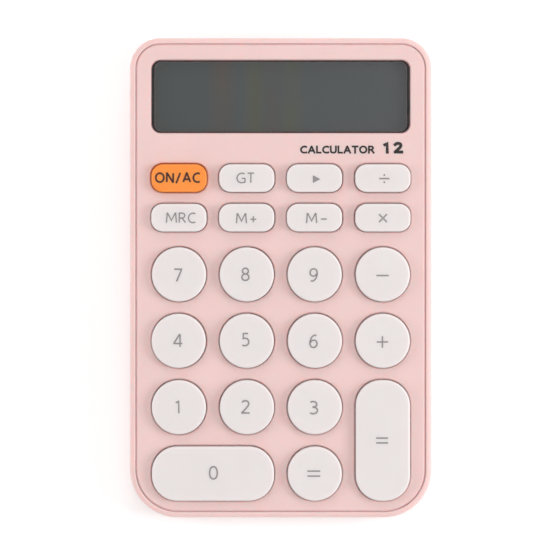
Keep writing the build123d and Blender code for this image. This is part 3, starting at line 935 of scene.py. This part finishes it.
def curve(*through: tuple[float, float], steps: int = 10) -> Array:
    """A smooth stroke through these points.

    Each span is a Catmull-Rom cubic of its two ends and their neighbours, with the end tangents
    found by reflecting the first and last runs.

    Args:
        *through: the points, in order.
        steps: points on each span.

    Returns:
        The stroke's points, (n, 2).
    """
    p = np.array(through, float)
    p = np.concatenate([[2 * p[0] - p[1]], p, [2 * p[-1] - p[-2]]])
    t = np.linspace(0.0, 1.0, steps, endpoint=False)[None, :, None]
    a, b, c, d = (p[i : len(p) - 3 + i, None] for i in range(4))
    spans = 0.5 * (
        2 * b + (c - a) * t + (2 * a - 5 * b + 4 * c - d) * t**2 + (3 * b - a - 3 * c + d) * t**3
    )
    return np.concatenate([spans.reshape(-1, 2), p[-2:-1]])


def oval(x: float, y: float, half_x: float, half_y: float, square: float = 2.2, steps: int = 48) -> Array:
    """A closed stroke: a superellipse, ending where it starts.

    Its points are the middle + the half sizes * (cos, sin), each raised to 2 / square with its sign
    kept.

    Args:
        x: the middle's x.
        y: the middle's y.
        half_x: half its width.
        half_y: half its height.
        square: 2 for an ellipse, and more for fuller corners.
        steps: chords round it.

    Returns:
        The points, (steps + 1, 2).
    """
    turn = np.linspace(0.0, 2 * math.pi, steps + 1)
    around = np.stack([np.cos(turn), np.sin(turn)], axis=1)
    return np.array([x, y]) + np.array([half_x, half_y]) * np.sign(around) * np.abs(around) ** (2.0 / square)


@dataclass(frozen=True)
class Glyph:
    """A letter as centre lines in a box one unit high."""

    width: float
    strokes: tuple[Array, ...]


GLYPHS: dict[str, Glyph] = {
    "0": Glyph(0.62, (oval(0.31, 0.5, 0.31, 0.5),)),
    "1": Glyph(0.27, (line((0.0, 0.84), (0.25, 1.0), (0.25, 0.0)),)),
    "2": Glyph(0.65, (
        np.concatenate([
            curve((0.02, 0.86), (0.15, 0.97), (0.31, 1.0), (0.50, 0.93), (0.57, 0.76), (0.49, 0.55),
                  (0.29, 0.31), (0.01, 0.02)),
            line((0.01, 0.0), (0.65, 0.0)),
        ]),
    )),
    "3": Glyph(0.62, (
        curve((0.03, 0.93), (0.22, 1.0), (0.46, 0.94), (0.55, 0.77), (0.46, 0.61), (0.20, 0.54)),
        curve((0.24, 0.54), (0.50, 0.47), (0.61, 0.28), (0.51, 0.08), (0.27, 0.0), (0.0, 0.06)),
    )),
    "4": Glyph(0.68, (
        line((0.50, 0.0), (0.50, 1.0), (0.44, 1.0), (0.0, 0.30), (0.0, 0.27), (0.455, 0.27)),
        line((0.545, 0.27), (0.68, 0.27)),
    )),
    "5": Glyph(0.56, (
        np.concatenate([
            line((0.50, 1.0), (0.11, 1.0), (0.08, 0.57)),
            curve((0.10, 0.58), (0.27, 0.62), (0.46, 0.54), (0.55, 0.32), (0.46, 0.09), (0.25, 0.0),
                  (0.02, 0.05)),
        ]),
    )),
    "6": Glyph(0.60, (
        curve((0.54, 0.97), (0.38, 1.0), (0.16, 0.84), (0.04, 0.55), (0.02, 0.30), (0.10, 0.08), (0.31, 0.0),
              (0.51, 0.10), (0.59, 0.32), (0.50, 0.54), (0.31, 0.60), (0.13, 0.52), (0.05, 0.40)),
    )),
    "7": Glyph(0.60, (line((0.0, 1.0), (0.60, 1.0), (0.60, 0.96), (0.20, 0.0)),)),
    "8": Glyph(0.57, (oval(0.285, 0.765, 0.24, 0.235, 2.0), oval(0.285, 0.26, 0.285, 0.26, 2.0))),
    "9": Glyph(0.60, (
        curve((0.06, 0.03), (0.22, 0.0), (0.44, 0.16), (0.56, 0.45), (0.58, 0.70), (0.50, 0.92), (0.29, 1.0),
              (0.09, 0.90), (0.01, 0.68), (0.10, 0.46), (0.29, 0.40), (0.47, 0.48), (0.55, 0.60)),
    )),
    "A": Glyph(0.80, (
        line((0.0, 0.0), (0.38, 1.0), (0.42, 1.0), (0.80, 0.0)),
        line((0.16, 0.31), (0.64, 0.31)),
    )),
    "C": Glyph(0.74, (
        curve((0.73, 0.93), (0.52, 1.0), (0.22, 0.90), (0.03, 0.65), (0.02, 0.36), (0.17, 0.10), (0.46, 0.0),
              (0.74, 0.05)),
    )),
    "G": Glyph(0.84, (
        np.concatenate([
            curve((0.79, 0.93), (0.54, 1.0), (0.24, 0.90), (0.03, 0.65), (0.02, 0.36), (0.18, 0.10),
                  (0.48, 0.0), (0.84, 0.07)),
            line((0.84, 0.08), (0.84, 0.46), (0.50, 0.46)),
        ]),
    )),
    "L": Glyph(0.50, (line((0.0, 1.0), (0.0, 0.0), (0.50, 0.0)),)),
    "M": Glyph(1.04, (
        line((0.0, 0.0), (0.07, 1.0), (0.13, 1.0), (0.52, 0.18), (0.91, 1.0), (0.97, 1.0), (1.04, 0.0)),
    )),
    "N": Glyph(0.72, (line((0.0, 0.0), (0.0, 1.0), (0.05, 1.0), (0.67, 0.0), (0.72, 0.0), (0.72, 1.0)),)),
    "O": Glyph(0.90, (oval(0.45, 0.5, 0.45, 0.5, 2.1),)),
    "R": Glyph(0.66, (
        np.concatenate([
            line((0.0, 0.0), (0.0, 1.0)),
            curve((0.0, 1.0), (0.28, 1.0), (0.50, 0.94), (0.58, 0.76), (0.49, 0.56), (0.26, 0.48),
                  (0.07, 0.48))[1:],
        ]),
        line((0.33, 0.44), (0.66, 0.0)),
    )),
    "T": Glyph(0.68, (line((0.0, 1.0), (0.68, 1.0)), line((0.34, 0.95), (0.34, 0.0)))),
    "U": Glyph(0.72, (
        np.concatenate([
            line((0.0, 1.0), (0.0, 0.36)),
            curve((0.0, 0.36), (0.08, 0.10), (0.36, 0.0), (0.64, 0.10), (0.72, 0.36))[1:],
            line((0.72, 0.36), (0.72, 1.0))[1:],
        ]),
    )),
    "/": Glyph(0.46, (line((0.0, -0.14), (0.46, 1.05)),)),
    "+": Glyph(0.62, (
        line((0.0, 0.42), (0.62, 0.42)),
        line((0.31, 0.47), (0.31, 0.73)),
        line((0.31, 0.37), (0.31, 0.11)),
    )),
    "-": Glyph(0.62, (line((0.0, 0.42), (0.62, 0.42)),)),
}


def is_closed(path: Array) -> bool:
    """Whether a stroke ends where it starts."""
    return bool(np.linalg.norm(path[0] - path[-1]) < CLOSED_WITHIN)


def lengthened(path: Array, extra: float) -> Array:
    """Run an open stroke on past both ends, along its first and last runs.

    Args:
        path: the centre line, (n, 2).
        extra: how far past each end.

    Returns:
        The longer stroke, or a closed one as it is.
    """
    if is_closed(path):
        return path
    first, last = path[0] - path[1], path[-1] - path[-2]
    start = path[0] + first / np.linalg.norm(first) * extra
    end = path[-1] + last / np.linalg.norm(last) * extra
    return np.concatenate([[start], path[1:-1], [end]])


def ribbon(path: Array, width: float, least_cosine: float = 0.2, blunting: float = 1.25) -> Array:
    """Give the two sides of a stroke of even width.

    Each side point stands off the centre line along the mean of its runs' normals, lengthened by one
    over the cosine of half the turn; the outer side of a sharp turn is held to a share of the half
    width, which blunts its point.

    Args:
        path: the centre line, (n, 2).
        width: the stroke's width.
        least_cosine: the cosine that stands in for a smaller one.
        blunting: the outer side's share of the half width at most.

    Returns:
        Left and right sides as (2, n, 2).
    """
    kept = np.concatenate([[True], np.linalg.norm(np.diff(path, axis=0), axis=1) > NO_LENGTH])
    path = path[kept]
    runs = np.diff(path, axis=0)
    runs /= np.linalg.norm(runs, axis=1, keepdims=True)
    closed = is_closed(path)
    before = np.concatenate([runs[-1:] if closed else runs[:1], runs])
    after = np.concatenate([runs, runs[:1] if closed else runs[-1:]])
    mean = before + after
    mean /= np.linalg.norm(mean, axis=1, keepdims=True)
    cosine = np.maximum((mean * before).sum(axis=1), least_cosine)
    normal = np.stack([-mean[:, 1], mean[:, 0]], axis=1)
    turn = before[:, 0] * after[:, 1] - before[:, 1] * after[:, 0]
    full = 1.0 / cosine
    held = np.minimum(full, blunting)
    left = np.where(turn > 0, full, held)[:, None]
    right = np.where(turn > 0, held, full)[:, None]
    return np.stack([path + normal * left * width / 2, path - normal * right * width / 2])


@dataclass
class Printing:
    """Ink laid on one level of the deck.

    The film is how far the ink stands above that level and reaches below it. Each stroke's top is a
    step above the last one's, so that strokes that cross don't share a face.
    """

    deck: Deck
    level: float
    film: float = 0.00003
    step: float = 0.0000015
    builder: MeshBuilder = field(init=False)
    laid: int = 0

    def __post_init__(self) -> None:
        """Start with no ink."""
        self.builder = MeshBuilder(self.deck)

    def stroke(self, path: Array, width: float) -> None:
        """Lay one stroke: a flat ribbon with a top, an underside and four sides.

        Args:
            path: the centre line on the deck, (n, 2), in metres.
            width: the stroke's width.
        """
        left, right = ribbon(path, width)
        top = self.level + self.film + self.laid * self.step
        low = self.level - self.film
        around = [(right, low), (right, top), (left, top), (left, low)]
        rings = np.stack([at_height(side, height) for side, height in around], axis=1)
        if is_closed(path):
            self.builder.add_loop(rings[:-1])
        else:
            self.builder.add_rings(rings)
        self.laid += 1

    def shape(self, corners: Array) -> None:
        """Lay a filled shape between the ink's underside and its top.

        Args:
            corners: its outline, (n, 2), anticlockwise.
        """
        levels = (self.level - self.film, self.level + self.film)
        self.builder.add_rings(np.array([at_height(corners, height) for height in levels]))

    def text(
        self, words: str, centre: tuple[float, float], height: float, width: float, stroke: float,
        stretch: float = 1.0, square_ends: bool = False,
    ) -> None:
        """Lay a line of letters, spaced to fill a width.

        Args:
            words: the letters.
            centre: the middle of the line on the deck.
            height: overall letter height.
            width: overall width of the line.
            stroke: the strokes' width.
            stretch: how much wider than usual each letter is.
            square_ends: run open strokes on by half their width, as in bold lettering.
        """
        tall = height - stroke
        size = np.array([tall * stretch, tall])
        glyphs = [GLYPHS[letter] for letter in words]
        inked = sum(glyph.width for glyph in glyphs) * size[0]
        gap = (width - stroke - inked) / max(1, len(glyphs) - 1)
        pen = centre[0] - (inked + gap * (len(glyphs) - 1)) / 2
        base = centre[1] - tall / 2
        for glyph in glyphs:
            for path in glyph.strokes:
                placed = path * size + np.array([pen, base])
                self.stroke(lengthened(placed, stroke / 2) if square_ends else placed, stroke)
            pen += glyph.width * size[0] + gap

    def build(self, name: str) -> bpy.types.Object:
        """Make the ink's object, flat shaded."""
        return self.builder.build(name, smooth=False)


class Sign(Enum):
    """The arithmetic signs and the arrow that stand alone on a key."""

    PLUS = "plus"
    MINUS = "minus"
    TIMES = "times"
    DIVIDE = "divide"
    EQUALS = "equals"
    ARROW = "arrow"


@dataclass(frozen=True)
class Legend:
    """What is printed on one key: letters or a sign, in millimetres.

    The shift moves it to the right and up from the key's middle. The dot share is a dot's radius, and
    the cross share is how far from a cross's middle its cut strokes stop, both in stroke widths.
    """

    words: str | Sign
    height: float
    width: float
    stroke: float
    shift: tuple[float, float] = (0.0, 0.0)
    dot_share: float = 0.66
    cross_share: float = 0.5

    def lay(self, ink: Printing, centre: tuple[float, float]) -> None:
        """Print it about a key's centre.

        Args:
            ink: the ink on the key's top.
            centre: the key's middle on the deck, in metres.
        """
        middle = (centre[0] + self.shift[0] * MM, centre[1] + self.shift[1] * MM)
        if isinstance(self.words, Sign):
            self._lay_sign(ink, middle)
        else:
            ink.text(self.words, middle, self.height * MM, self.width * MM, self.stroke * MM)

    def _lay_sign(self, ink: Printing, middle: tuple[float, float]) -> None:
        """Print the sign from bars, dots or a filled triangle.

        Args:
            ink: the ink on the key's top.
            middle: the sign's middle on the deck, in metres.
        """
        half, rise, thick = self.width * MM / 2, self.height * MM / 2, self.stroke * MM
        bar = line((-half, 0.0), (half, 0.0)) + middle
        short = thick * self.cross_share
        if self.words is Sign.ARROW:
            ink.shape(line((-half, -rise), (half, 0.0), (-half, rise)) + middle)
        elif self.words is Sign.EQUALS:
            for side in (-1, 1):
                ink.stroke(bar + np.array([0.0, side * rise]), thick)
        elif self.words is Sign.TIMES:
            ink.stroke(line((-half, -half), (half, half)) + middle, thick)
            for side in (-1, 1):
                ink.stroke(line((side * half, -side * half), (side * short, -side * short)) + middle, thick)
        else:
            ink.stroke(bar, thick)
        if self.words is Sign.PLUS:
            for side in (-1, 1):
                ink.stroke(line((0.0, side * half), (0.0, side * short)) + middle, thick)
        if self.words is Sign.DIVIDE:
            for side in (-1, 1):
                ink.shape(circle((0.0, side * rise), thick * self.dot_share, 24) + middle)


# Stroke widths and letter heights on the keys, in millimetres.
DIGIT_STROKE = 0.5
LETTER_STROKE = 0.44
SIGN_STROKE = 0.48
DIGIT_HEIGHT = 4.55
LETTER_HEIGHT = 3.6

# Each figure's width, then its shift to the right and up, in millimetres.
DIGITS: dict[str, tuple[float, float, float]] = {
    "0": (2.9, 0.15, 0.3),
    "1": (1.45, -0.48, 0.07),
    "2": (3.05, -0.42, 0.16),
    "3": (2.95, -0.36, -0.1),
    "4": (3.25, -0.15, 0.05),
    "5": (2.9, -0.45, 0.42),
    "6": (3.2, -0.5, -0.16),
    "7": (3.15, -0.4, -0.27),
    "8": (3.1, -0.46, 0.05),
    "9": (3.2, -0.36, -0.15),
}

LEGENDS: dict[str, Legend] = {
    **{
        f"key_{figure}": Legend(figure, DIGIT_HEIGHT, width, DIGIT_STROKE, (right, up))
        for figure, (width, right, up) in DIGITS.items()
    },
    "key_on_ac": Legend("ON/AC", 3.55, 15.2, 0.62, (-0.38, 0.17)),
    "key_gt": Legend("GT", LETTER_HEIGHT, 6.1, LETTER_STROKE, (-0.42, 0.06)),
    "key_backspace": Legend(Sign.ARROW, 2.6, 2.5, 0.0, (0.72, -0.32)),
    "key_divide": Legend(Sign.DIVIDE, 2.4, 3.4, SIGN_STROKE, (0.45, -0.15)),
    "key_mrc": Legend("MRC", LETTER_HEIGHT, 10.05, LETTER_STROKE, (0.7, -0.06)),
    "key_m_plus": Legend("M+", LETTER_HEIGHT, 7.0, LETTER_STROKE, (-0.08, -0.26)),
    "key_m_minus": Legend("M-", LETTER_HEIGHT, 7.1, LETTER_STROKE, (0.75, -0.19)),
    "key_multiply": Legend(Sign.TIMES, 2.65, 2.65, SIGN_STROKE, (0.0, -0.15)),
    "key_minus": Legend(Sign.MINUS, 0.0, 4.05, SIGN_STROKE, (-0.1, -0.35)),
    "key_plus": Legend(Sign.PLUS, 0.0, 3.8, SIGN_STROKE, (-0.15, -0.35)),
    "key_equals": Legend(Sign.EQUALS, 1.66, 4.25, SIGN_STROKE, (-0.36, 0.05)),
    "key_total": Legend(Sign.EQUALS, 1.6, 3.95, SIGN_STROKE, (-0.28, 0.02)),
}


@dataclass
class Keypad:
    """The key caps' finishes and their printed legends."""

    deck: Deck
    nodes: Mapping[str, bpy.types.Object]
    white: bpy.types.Material
    orange: bpy.types.Material
    grey_ink: bpy.types.Material
    dark_ink: bpy.types.Material

    def build(self) -> None:
        """Dress each key and print its legend, which rides with it."""
        for name, legend in LEGENDS.items():
            key = self.nodes[name]
            lit = name == "key_on_ac"
            dress(key, self.orange if lit else self.white)
            low, high = self.deck.measure(key)
            ink = Printing(self.deck, high[2])
            legend.lay(ink, ((low[0] + high[0]) / 2, (low[1] + high[1]) / 2))
            print_piece = ink.build(f"legend_{name.removeprefix('key_')}")
            dress(print_piece, self.dark_ink if lit else self.grey_ink)
            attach(print_piece, name)
            LOG.info("printed %s", print_piece.name)


@dataclass
class StripPrint:
    """The two plain words on the strip between the window and the keys, in millimetres.

    Each word has its left end, right end, height and stroke, and both stand on one base line.
    """

    deck: Deck
    ink: bpy.types.Material
    base: float = 40.72
    word: tuple[float, float, float, float] = (6.4, 31.1, 2.65, 0.6)
    figure: tuple[float, float, float, float] = (34.0, 40.6, 3.9, 1.0)
    stretch: float = 1.16

    def build(self) -> None:
        """Lay the word and the number of digits; they ride with the case."""
        printing = Printing(self.deck, 0.0)
        for words, (left, right, height, stroke) in (("CALCULATOR", self.word), ("12", self.figure)):
            middle = ((left + right) / 2 * MM, (self.base + height / 2) * MM)
            width = (right - left) * MM
            printing.text(words, middle, height * MM, width, stroke * MM, self.stretch, square_ends=True)
        piece = printing.build("strip_print")
        dress(piece, self.ink)
        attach(piece, "body")
        LOG.info("printed %s", piece.name)


# ---------------------------------------------------------------------------------- the soft mat
@dataclass
class DomeMat:
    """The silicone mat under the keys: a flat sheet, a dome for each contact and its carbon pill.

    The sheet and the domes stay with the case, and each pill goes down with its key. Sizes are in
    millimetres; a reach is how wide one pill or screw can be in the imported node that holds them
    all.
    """

    deck: Deck
    nodes: Mapping[str, bpy.types.Object]
    silicone: bpy.types.Material
    carbon: bpy.types.Material
    thickness: float = 0.8
    front_radius: float = 10.8
    rear_radius: float = 0.6
    boss_room: float = 2.65
    screw_reach: float = 6.0
    hollow_radius: float = 3.6
    foot_radius: float = 4.55
    foot_edge: float = 0.12
    foot_slope: tuple[float, float] = (0.2, 0.3)
    plateau_radius: float = 2.5
    plateau_edge: tuple[float, float] = (0.12, 0.1)
    shoulder: tuple[float, float] = (0.06, 0.25)
    wall: float = 0.6
    hollow_edge: tuple[float, float] = (0.12, 0.06)
    pill_radius: float = 1.6
    pill_thickness: float = 0.4
    pill_edge: float = 0.08
    pill_points: int = 32
    pill_reach: float = 4.0
    pressed_share: float = 0.25

    def build(self) -> None:
        """Make the sheet, then each dome and pill at the contact places."""
        low, high = self.deck.measure(self.nodes["keypad_mat"])
        low_mm, high_mm = low / MM, high / MM
        places = self._centres("contact_pills", self.pill_reach)
        screws = [
            p for name in ("board_screws", "casing_screws") for p in self._centres(name, self.screw_reach)
        ]
        sheet_top = low_mm[2] + self.thickness
        self._sheet(low_mm, high_mm, sheet_top, places, [p for p in screws if p[1] < high_mm[1]])
        for name in LEGENDS:
            key_low, key_high = (corner[:2] / MM for corner in self.deck.measure(self.nodes[name]))
            under = [p for p in places if np.all(p > key_low) and np.all(p < key_high)]
            self._domes(name, under, sheet_top, high_mm[2])

    def _centres(self, name: str, reach: float) -> list[Array]:
        """The middles of the separate parts of a node, seen square to the deck."""
        flat = self.deck.coordinates(self.nodes[name])[:, :2]
        return [middle / MM for middle in cluster_centres(flat, reach * MM)]

    def _sheet(self, low: Array, high: Array, top: float, places: list[Array], screws: list[Array]) -> None:
        """Make the flat sheet, open under each dome and round each screw's boss.

        Args:
            low: the mat's lowest corner.
            high: its highest corner.
            top: the sheet's top.
            places: the contacts' middles.
            screws: the middles of the screws whose bosses pass through the sheet.
        """
        radii = (self.rear_radius, self.rear_radius, self.front_radius, self.front_radius)
        outline = rounded_outline(low[:2], high[:2], radii)
        holes = [(p, self.hollow_radius) for p in places] + [(p, self.boss_room) for p in screws]
        builder = MeshBuilder(self.deck)
        builder.add_plate(outline * MM, [(p * MM, r * MM) for p, r in holes], low[2] * MM, top * MM)
        sheet = builder.build("mat_sheet", smooth=False)
        dress(sheet, self.silicone)
        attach(sheet, "body")
        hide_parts("keypad_mat")
        LOG.info("laid %s with %d holes", sheet.name, len(holes))

    def _dome_profile(self, foot: float, top: float) -> Array:
        """Give a dome's profile: a closed shell about its axis.

        It runs from the hollow's top down the hollow's wall, out under the foot, and up the cone to
        the rounded plateau that the key's stem rests on.

        Args:
            foot: the height of the sheet's top.
            top: the plateau's height.

        Returns:
            Rows of (radius, height).
        """
        roof = top - self.wall
        inner = self.plateau_radius - self.wall
        return np.array([
            (inner, roof),
            (inner + self.hollow_edge[0], roof - self.hollow_edge[1]),
            (self.hollow_radius, foot),
            (self.foot_radius, foot),
            (self.foot_radius, foot + self.foot_edge),
            (self.foot_radius - self.foot_slope[0], foot + self.foot_slope[1]),
            (self.plateau_radius + self.shoulder[0], top - self.shoulder[1]),
            (self.plateau_radius, top - self.plateau_edge[1]),
            (self.plateau_radius - self.plateau_edge[0], top),
        ])

    def _pill_profile(self, roof: float) -> Array:
        """Give a pill's profile: a disc with a rounded lower edge.

        Args:
            roof: the height of the dome's hollow, which the pill hangs from.

        Returns:
            Rows of (radius, height).
        """
        low = roof - self.pill_thickness
        return np.array([
            (self.pill_radius - self.pill_edge, low),
            (self.pill_radius, low + self.pill_edge),
            (self.pill_radius, roof),
        ])

    def _domes(self, key: str, places: list[Array], foot: float, top: float) -> None:
        """Make one key's domes and pills.

        Args:
            key: the key's name.
            places: the middles of the contacts under it.
            foot: the height of the sheet's top.
            top: the domes' height.
        """
        shell = self._dome_profile(foot, top) * MM
        disc = self._pill_profile(top - self.wall) * MM
        domes, pills = MeshBuilder(self.deck), MeshBuilder(self.deck)
        for place in places:
            domes.add_rings(turned_rings(place * MM, shell))
            pills.add_rings(turned_rings(place * MM, disc, self.pill_points))
        short = key.removeprefix("key_")
        dome_piece = domes.build(f"dome_{short}")
        dress(dome_piece, self.silicone)
        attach(dome_piece, "body")
        anchor = self.deck.place(np.array([0.0, 0.0, foot * MM])).tolist()
        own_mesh(dome_piece)
        pill_piece = pills.build(f"pill_{short}")
        dress(pill_piece, self.carbon)
        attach(pill_piece, key)
        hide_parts("contact_pills")
        LOG.info("made %s and %s, %d each", dome_piece.name, pill_piece.name, len(places))


# ---------------------------------------------------------------------------------- the studio
@dataclass(frozen=True)
class Softbox:
    """A square area light aimed at the calculator, in metres and watts."""

    name: str
    place: tuple[float, float, float]
    size: float
    power: float

    def build(self) -> None:
        """Hang the light and turn it towards the origin."""
        light = bpy.data.lights.new(self.name, "AREA")
        light.size = self.size
        light.energy = self.power
        lamp = bpy.data.objects.new(self.name, light)
        lamp.location = self.place
        lamp.rotation_euler = (-Vector(self.place)).to_track_quat("-Z", "Y").to_euler()
        bpy.context.scene.collection.objects.link(lamp)


@dataclass
class Studio:
    """A pale floor, soft lights and the camera square to the face, in metres."""

    deck: Deck
    floor_half: float = 3.0
    floor_colour: Colour = (0.92, 0.92, 0.92)
    floor_variation: float = 0.01
    floor_scale: float = 8.0
    floor_roughness: float = 0.9
    floor_glow: float = 0.14
    surround: float = 0.745
    boxes: tuple[Softbox, ...] = (
        Softbox("right_box", (1.1, -0.1, 0.62), 0.5, 7.6),
        Softbox("left_box", (-1.1, 0.0, 0.62), 0.5, 3.4),
        Softbox("far_box", (0.0, 1.1, 0.9), 0.6, 3.0),
    )
    view_distance: float = 1.6
    view_width: float = 0.1857
    view_reach: float = 20.0
    sensor_mm: float = 36.0
    aim_x: float = -0.00025
    aim_up: float = -0.0012

    def build(self) -> None:
        """Set up the floor, world, lights and camera."""
        self._floor()
        self._world()
        for box in self.boxes:
            box.build()
        self._camera()

    def _floor(self) -> None:
        """Lay a square floor at the feet's level, with a faint glow that keeps it white."""
        half = self.floor_half
        corners = np.array([[-half, -half, 0], [half, -half, 0], [half, half, 0], [-half, half, 0]])
        floor = make_object("floor", corners, [[0, 1, 2, 3]], smooth=False)
        sheet = Sheet("floor_paper")
        paler = tuple(c * (1.0 + self.floor_variation) for c in self.floor_colour)
        dress(floor, sheet.finish(
            Base_Color=sheet.mixed(sheet.noise(self.floor_scale), self.floor_colour, paler),
            Roughness=self.floor_roughness, Emission_Color=(1.0, 1.0, 1.0),
            Emission_Strength=self.floor_glow,
        ))

    def _world(self) -> None:
        """Set an even pale surround, shown without a film curve."""
        bpy.context.scene.view_settings.view_transform = "Standard"
        world = bpy.data.worlds.new("studio")
        world.use_nodes = True
        background = world.node_tree.nodes["Background"]
        background.inputs["Color"].default_value = (1.0, 1.0, 1.0, 1.0)
        background.inputs["Strength"].default_value = self.surround
        bpy.context.scene.world = world

    def _camera(self) -> None:
        """Point a long lens straight down on to the face."""
        camera = bpy.data.cameras.new("camera")
        camera.sensor_width = self.sensor_mm
        camera.lens = camera.sensor_width * self.view_distance / self.view_width
        camera.clip_end = self.view_reach
        eye = bpy.data.objects.new("camera", camera)
        middle = self.deck.place(np.array([self.aim_x, self.aim_up, 0.0]))
        eye.location = Vector(middle + self.deck.normal * self.view_distance)
        aim = Vector(-self.deck.normal)
        eye.rotation_euler = aim.to_track_quat("-Z", "Y").to_euler()
        bpy.context.scene.collection.objects.link(eye)
        bpy.context.scene.camera = eye


def save_sizes() -> None:
    """Bring the view layer up to date, so that every piece's placement is current.
    """
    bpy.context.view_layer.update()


# The case's pink, and the painted light on the panel's and the keys' sides below the deck:
# lighter, warmer colours that lift the shade in the gaps.
PINK = (0.79, 0.575, 0.555)
PINK_PAINTED_GAP_LIGHT = (1.0, 0.63, 0.62)
WHITE_PAINTED_GAP_LIGHT = (1.0, 0.88, 0.86)


def display_film() -> DisplayFilm:
    """Choose the switched-off display's colours, with painted reflections: warm and green stripes by turns.

    Returns:
        The film's finish.
    """
    return DisplayFilm(
        "polariser", left=(0.165, 0.193, 0.188), right=(0.228, 0.246, 0.262),
        reflection_bands=(
            Band(-0.0195, 0.006, (0.23, 0.198, 0.175)),
            Band(-0.0085, 0.005, (0.225, 0.238, 0.165)),
            Band(-0.0025, 0.004, (0.23, 0.205, 0.18)),
            Band(0.0035, 0.0055, (0.235, 0.248, 0.165)),
        ),
        half_width=0.0426,
    )


def dress_frame(nodes: Mapping[str, bpy.types.Object], deck: Deck) -> None:
    """Give every rigid node of the case, the display, the board and the cell its finish.

    Args:
        nodes: the frame's objects by name.
        deck: the face's plane, below which the panel's colour is painted lighter and warmer, as painted
            light in its gaps.
    """
    nickel = PlatedMetal("nickel", (0.72, 0.70, 0.66), roughness=0.28).make()
    zinc = PlatedMetal("zinc", (0.62, 0.63, 0.65), roughness=0.34, brushed=(4000.0, 4000.0, 900.0)).make()
    case = MouldedPlastic(
        "case_plastic", PINK, roughness=0.55, grain=3600.0, grain_depth=0.00002, glow=0.6,
    ).make()
    finishes = {
        "rear_case": case,
        "battery_door": case,
        # Below the deck the panel is painted lighter and warmer: painted light in its shaded grooves and key
        # gaps.
        "front_panel": MouldedPlastic("panel_plastic", PINK, glow=0.6, painted_gap_light=(PINK_PAINTED_GAP_LIGHT, deck)).make(),
        "display_window": SmokedLens("window_acrylic", (0.035, 0.038, 0.038), alpha=0.3).make(),
        "window_tape": MouldedPlastic("tape_film", (0.012, 0.008, 0.007), roughness=0.6).make(),
        "lcd_front_polariser": display_film().make(),
        "lcd_glass": SmokedLens("cell_glass", (0.32, 0.36, 0.33), alpha=0.5).make(),
        "lcd_reflector": PlatedMetal("reflector", (0.55, 0.58, 0.52), roughness=0.45).make(),
        "lcd_holder": MouldedPlastic("holder_plastic", (0.72, 0.73, 0.72), roughness=0.5).make(),
        "zebra_strip": LayeredRubber("zebra_rubber", (0.02, 0.02, 0.02), (0.6, 0.55, 0.5), 0.0002).make(),
        "circuit_board": BoardLaminate("board_laminate", (0.012, 0.13, 0.045)).make(),
        "chip_blob": MouldedPlastic("epoxy", (0.012, 0.012, 0.013), roughness=0.3, coat=0.3).make(),
        "chip_components": MouldedPlastic("ceramic", (0.33, 0.22, 0.13), roughness=0.4, grain=9000.0).make(),
        "electrolytic_capacitor": BandedSleeve(
            "capacitor_sleeve", main=(0.012, 0.02, 0.06), band=(0.5, 0.52, 0.55), split_x=0.0316,
        ).make(),
        "board_screws": zinc,
        "casing_screws": zinc,
        "battery_cell": BandedSleeve(
            "cell_sleeve", main=(0.02, 0.02, 0.022), band=(0.55, 0.3, 0.09), split_x=0.008,
        ).make(),
        "battery_spring": nickel,
        "battery_plate": nickel,
        "red_lead": MouldedPlastic("red_insulation", (0.5, 0.02, 0.015), roughness=0.35).make(),
        "black_lead": MouldedPlastic("black_insulation", (0.015, 0.015, 0.016), roughness=0.35).make(),
        "rubber_feet": Rubber("foot_rubber", (0.035, 0.035, 0.037)).make(),
    }
    for name, material in finishes.items():
        dress(nodes[name], material)
        LOG.info("dressed %s", name)


def main() -> None:
    """Load the frame, build every sub-assembly in order and set up the studio."""
    logging.basicConfig(level=logging.INFO, format="%(name)s: %(message)s")
    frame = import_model()
    deck = Deck.from_frame(frame)
    nodes = frame["nodes"]
    Studio(deck).build()
    dress_frame(nodes, deck)
    StripPrint(deck, PrintedInk("brown_ink", (0.018, 0.01, 0.01)).make()).build()
    Keypad(
        deck, nodes,
        # Below the deck the keys' sides are painted lighter and warmer: painted light in the shaded gaps
        # round them.
        white=MouldedPlastic(
            "key_plastic", (0.745, 0.695, 0.688), roughness=0.42, mottle=0.005, glow=0.5,
            glow_reach=(1.0, 0.8, 0.75), painted_gap_light=(WHITE_PAINTED_GAP_LIGHT, deck),
        ).make(),
        orange=MouldedPlastic(
            "orange_plastic", (0.9, 0.28, 0.045), roughness=0.42, mottle=0.005, glow=0.4,
        ).make(),
        grey_ink=PrintedInk("grey_ink", (0.255, 0.235, 0.235)).make(),
        dark_ink=PrintedInk("dark_ink", (0.06, 0.008, 0.003)).make(),
    ).build()
    DomeMat(
        deck, nodes,
        silicone=Rubber("silicone", (0.62, 0.63, 0.62), roughness=0.5).make(),
        carbon=Rubber("carbon_rubber", (0.02, 0.02, 0.022)).make(),
    ).build()
    save_sizes()


if __name__ == "__main__":
    main()
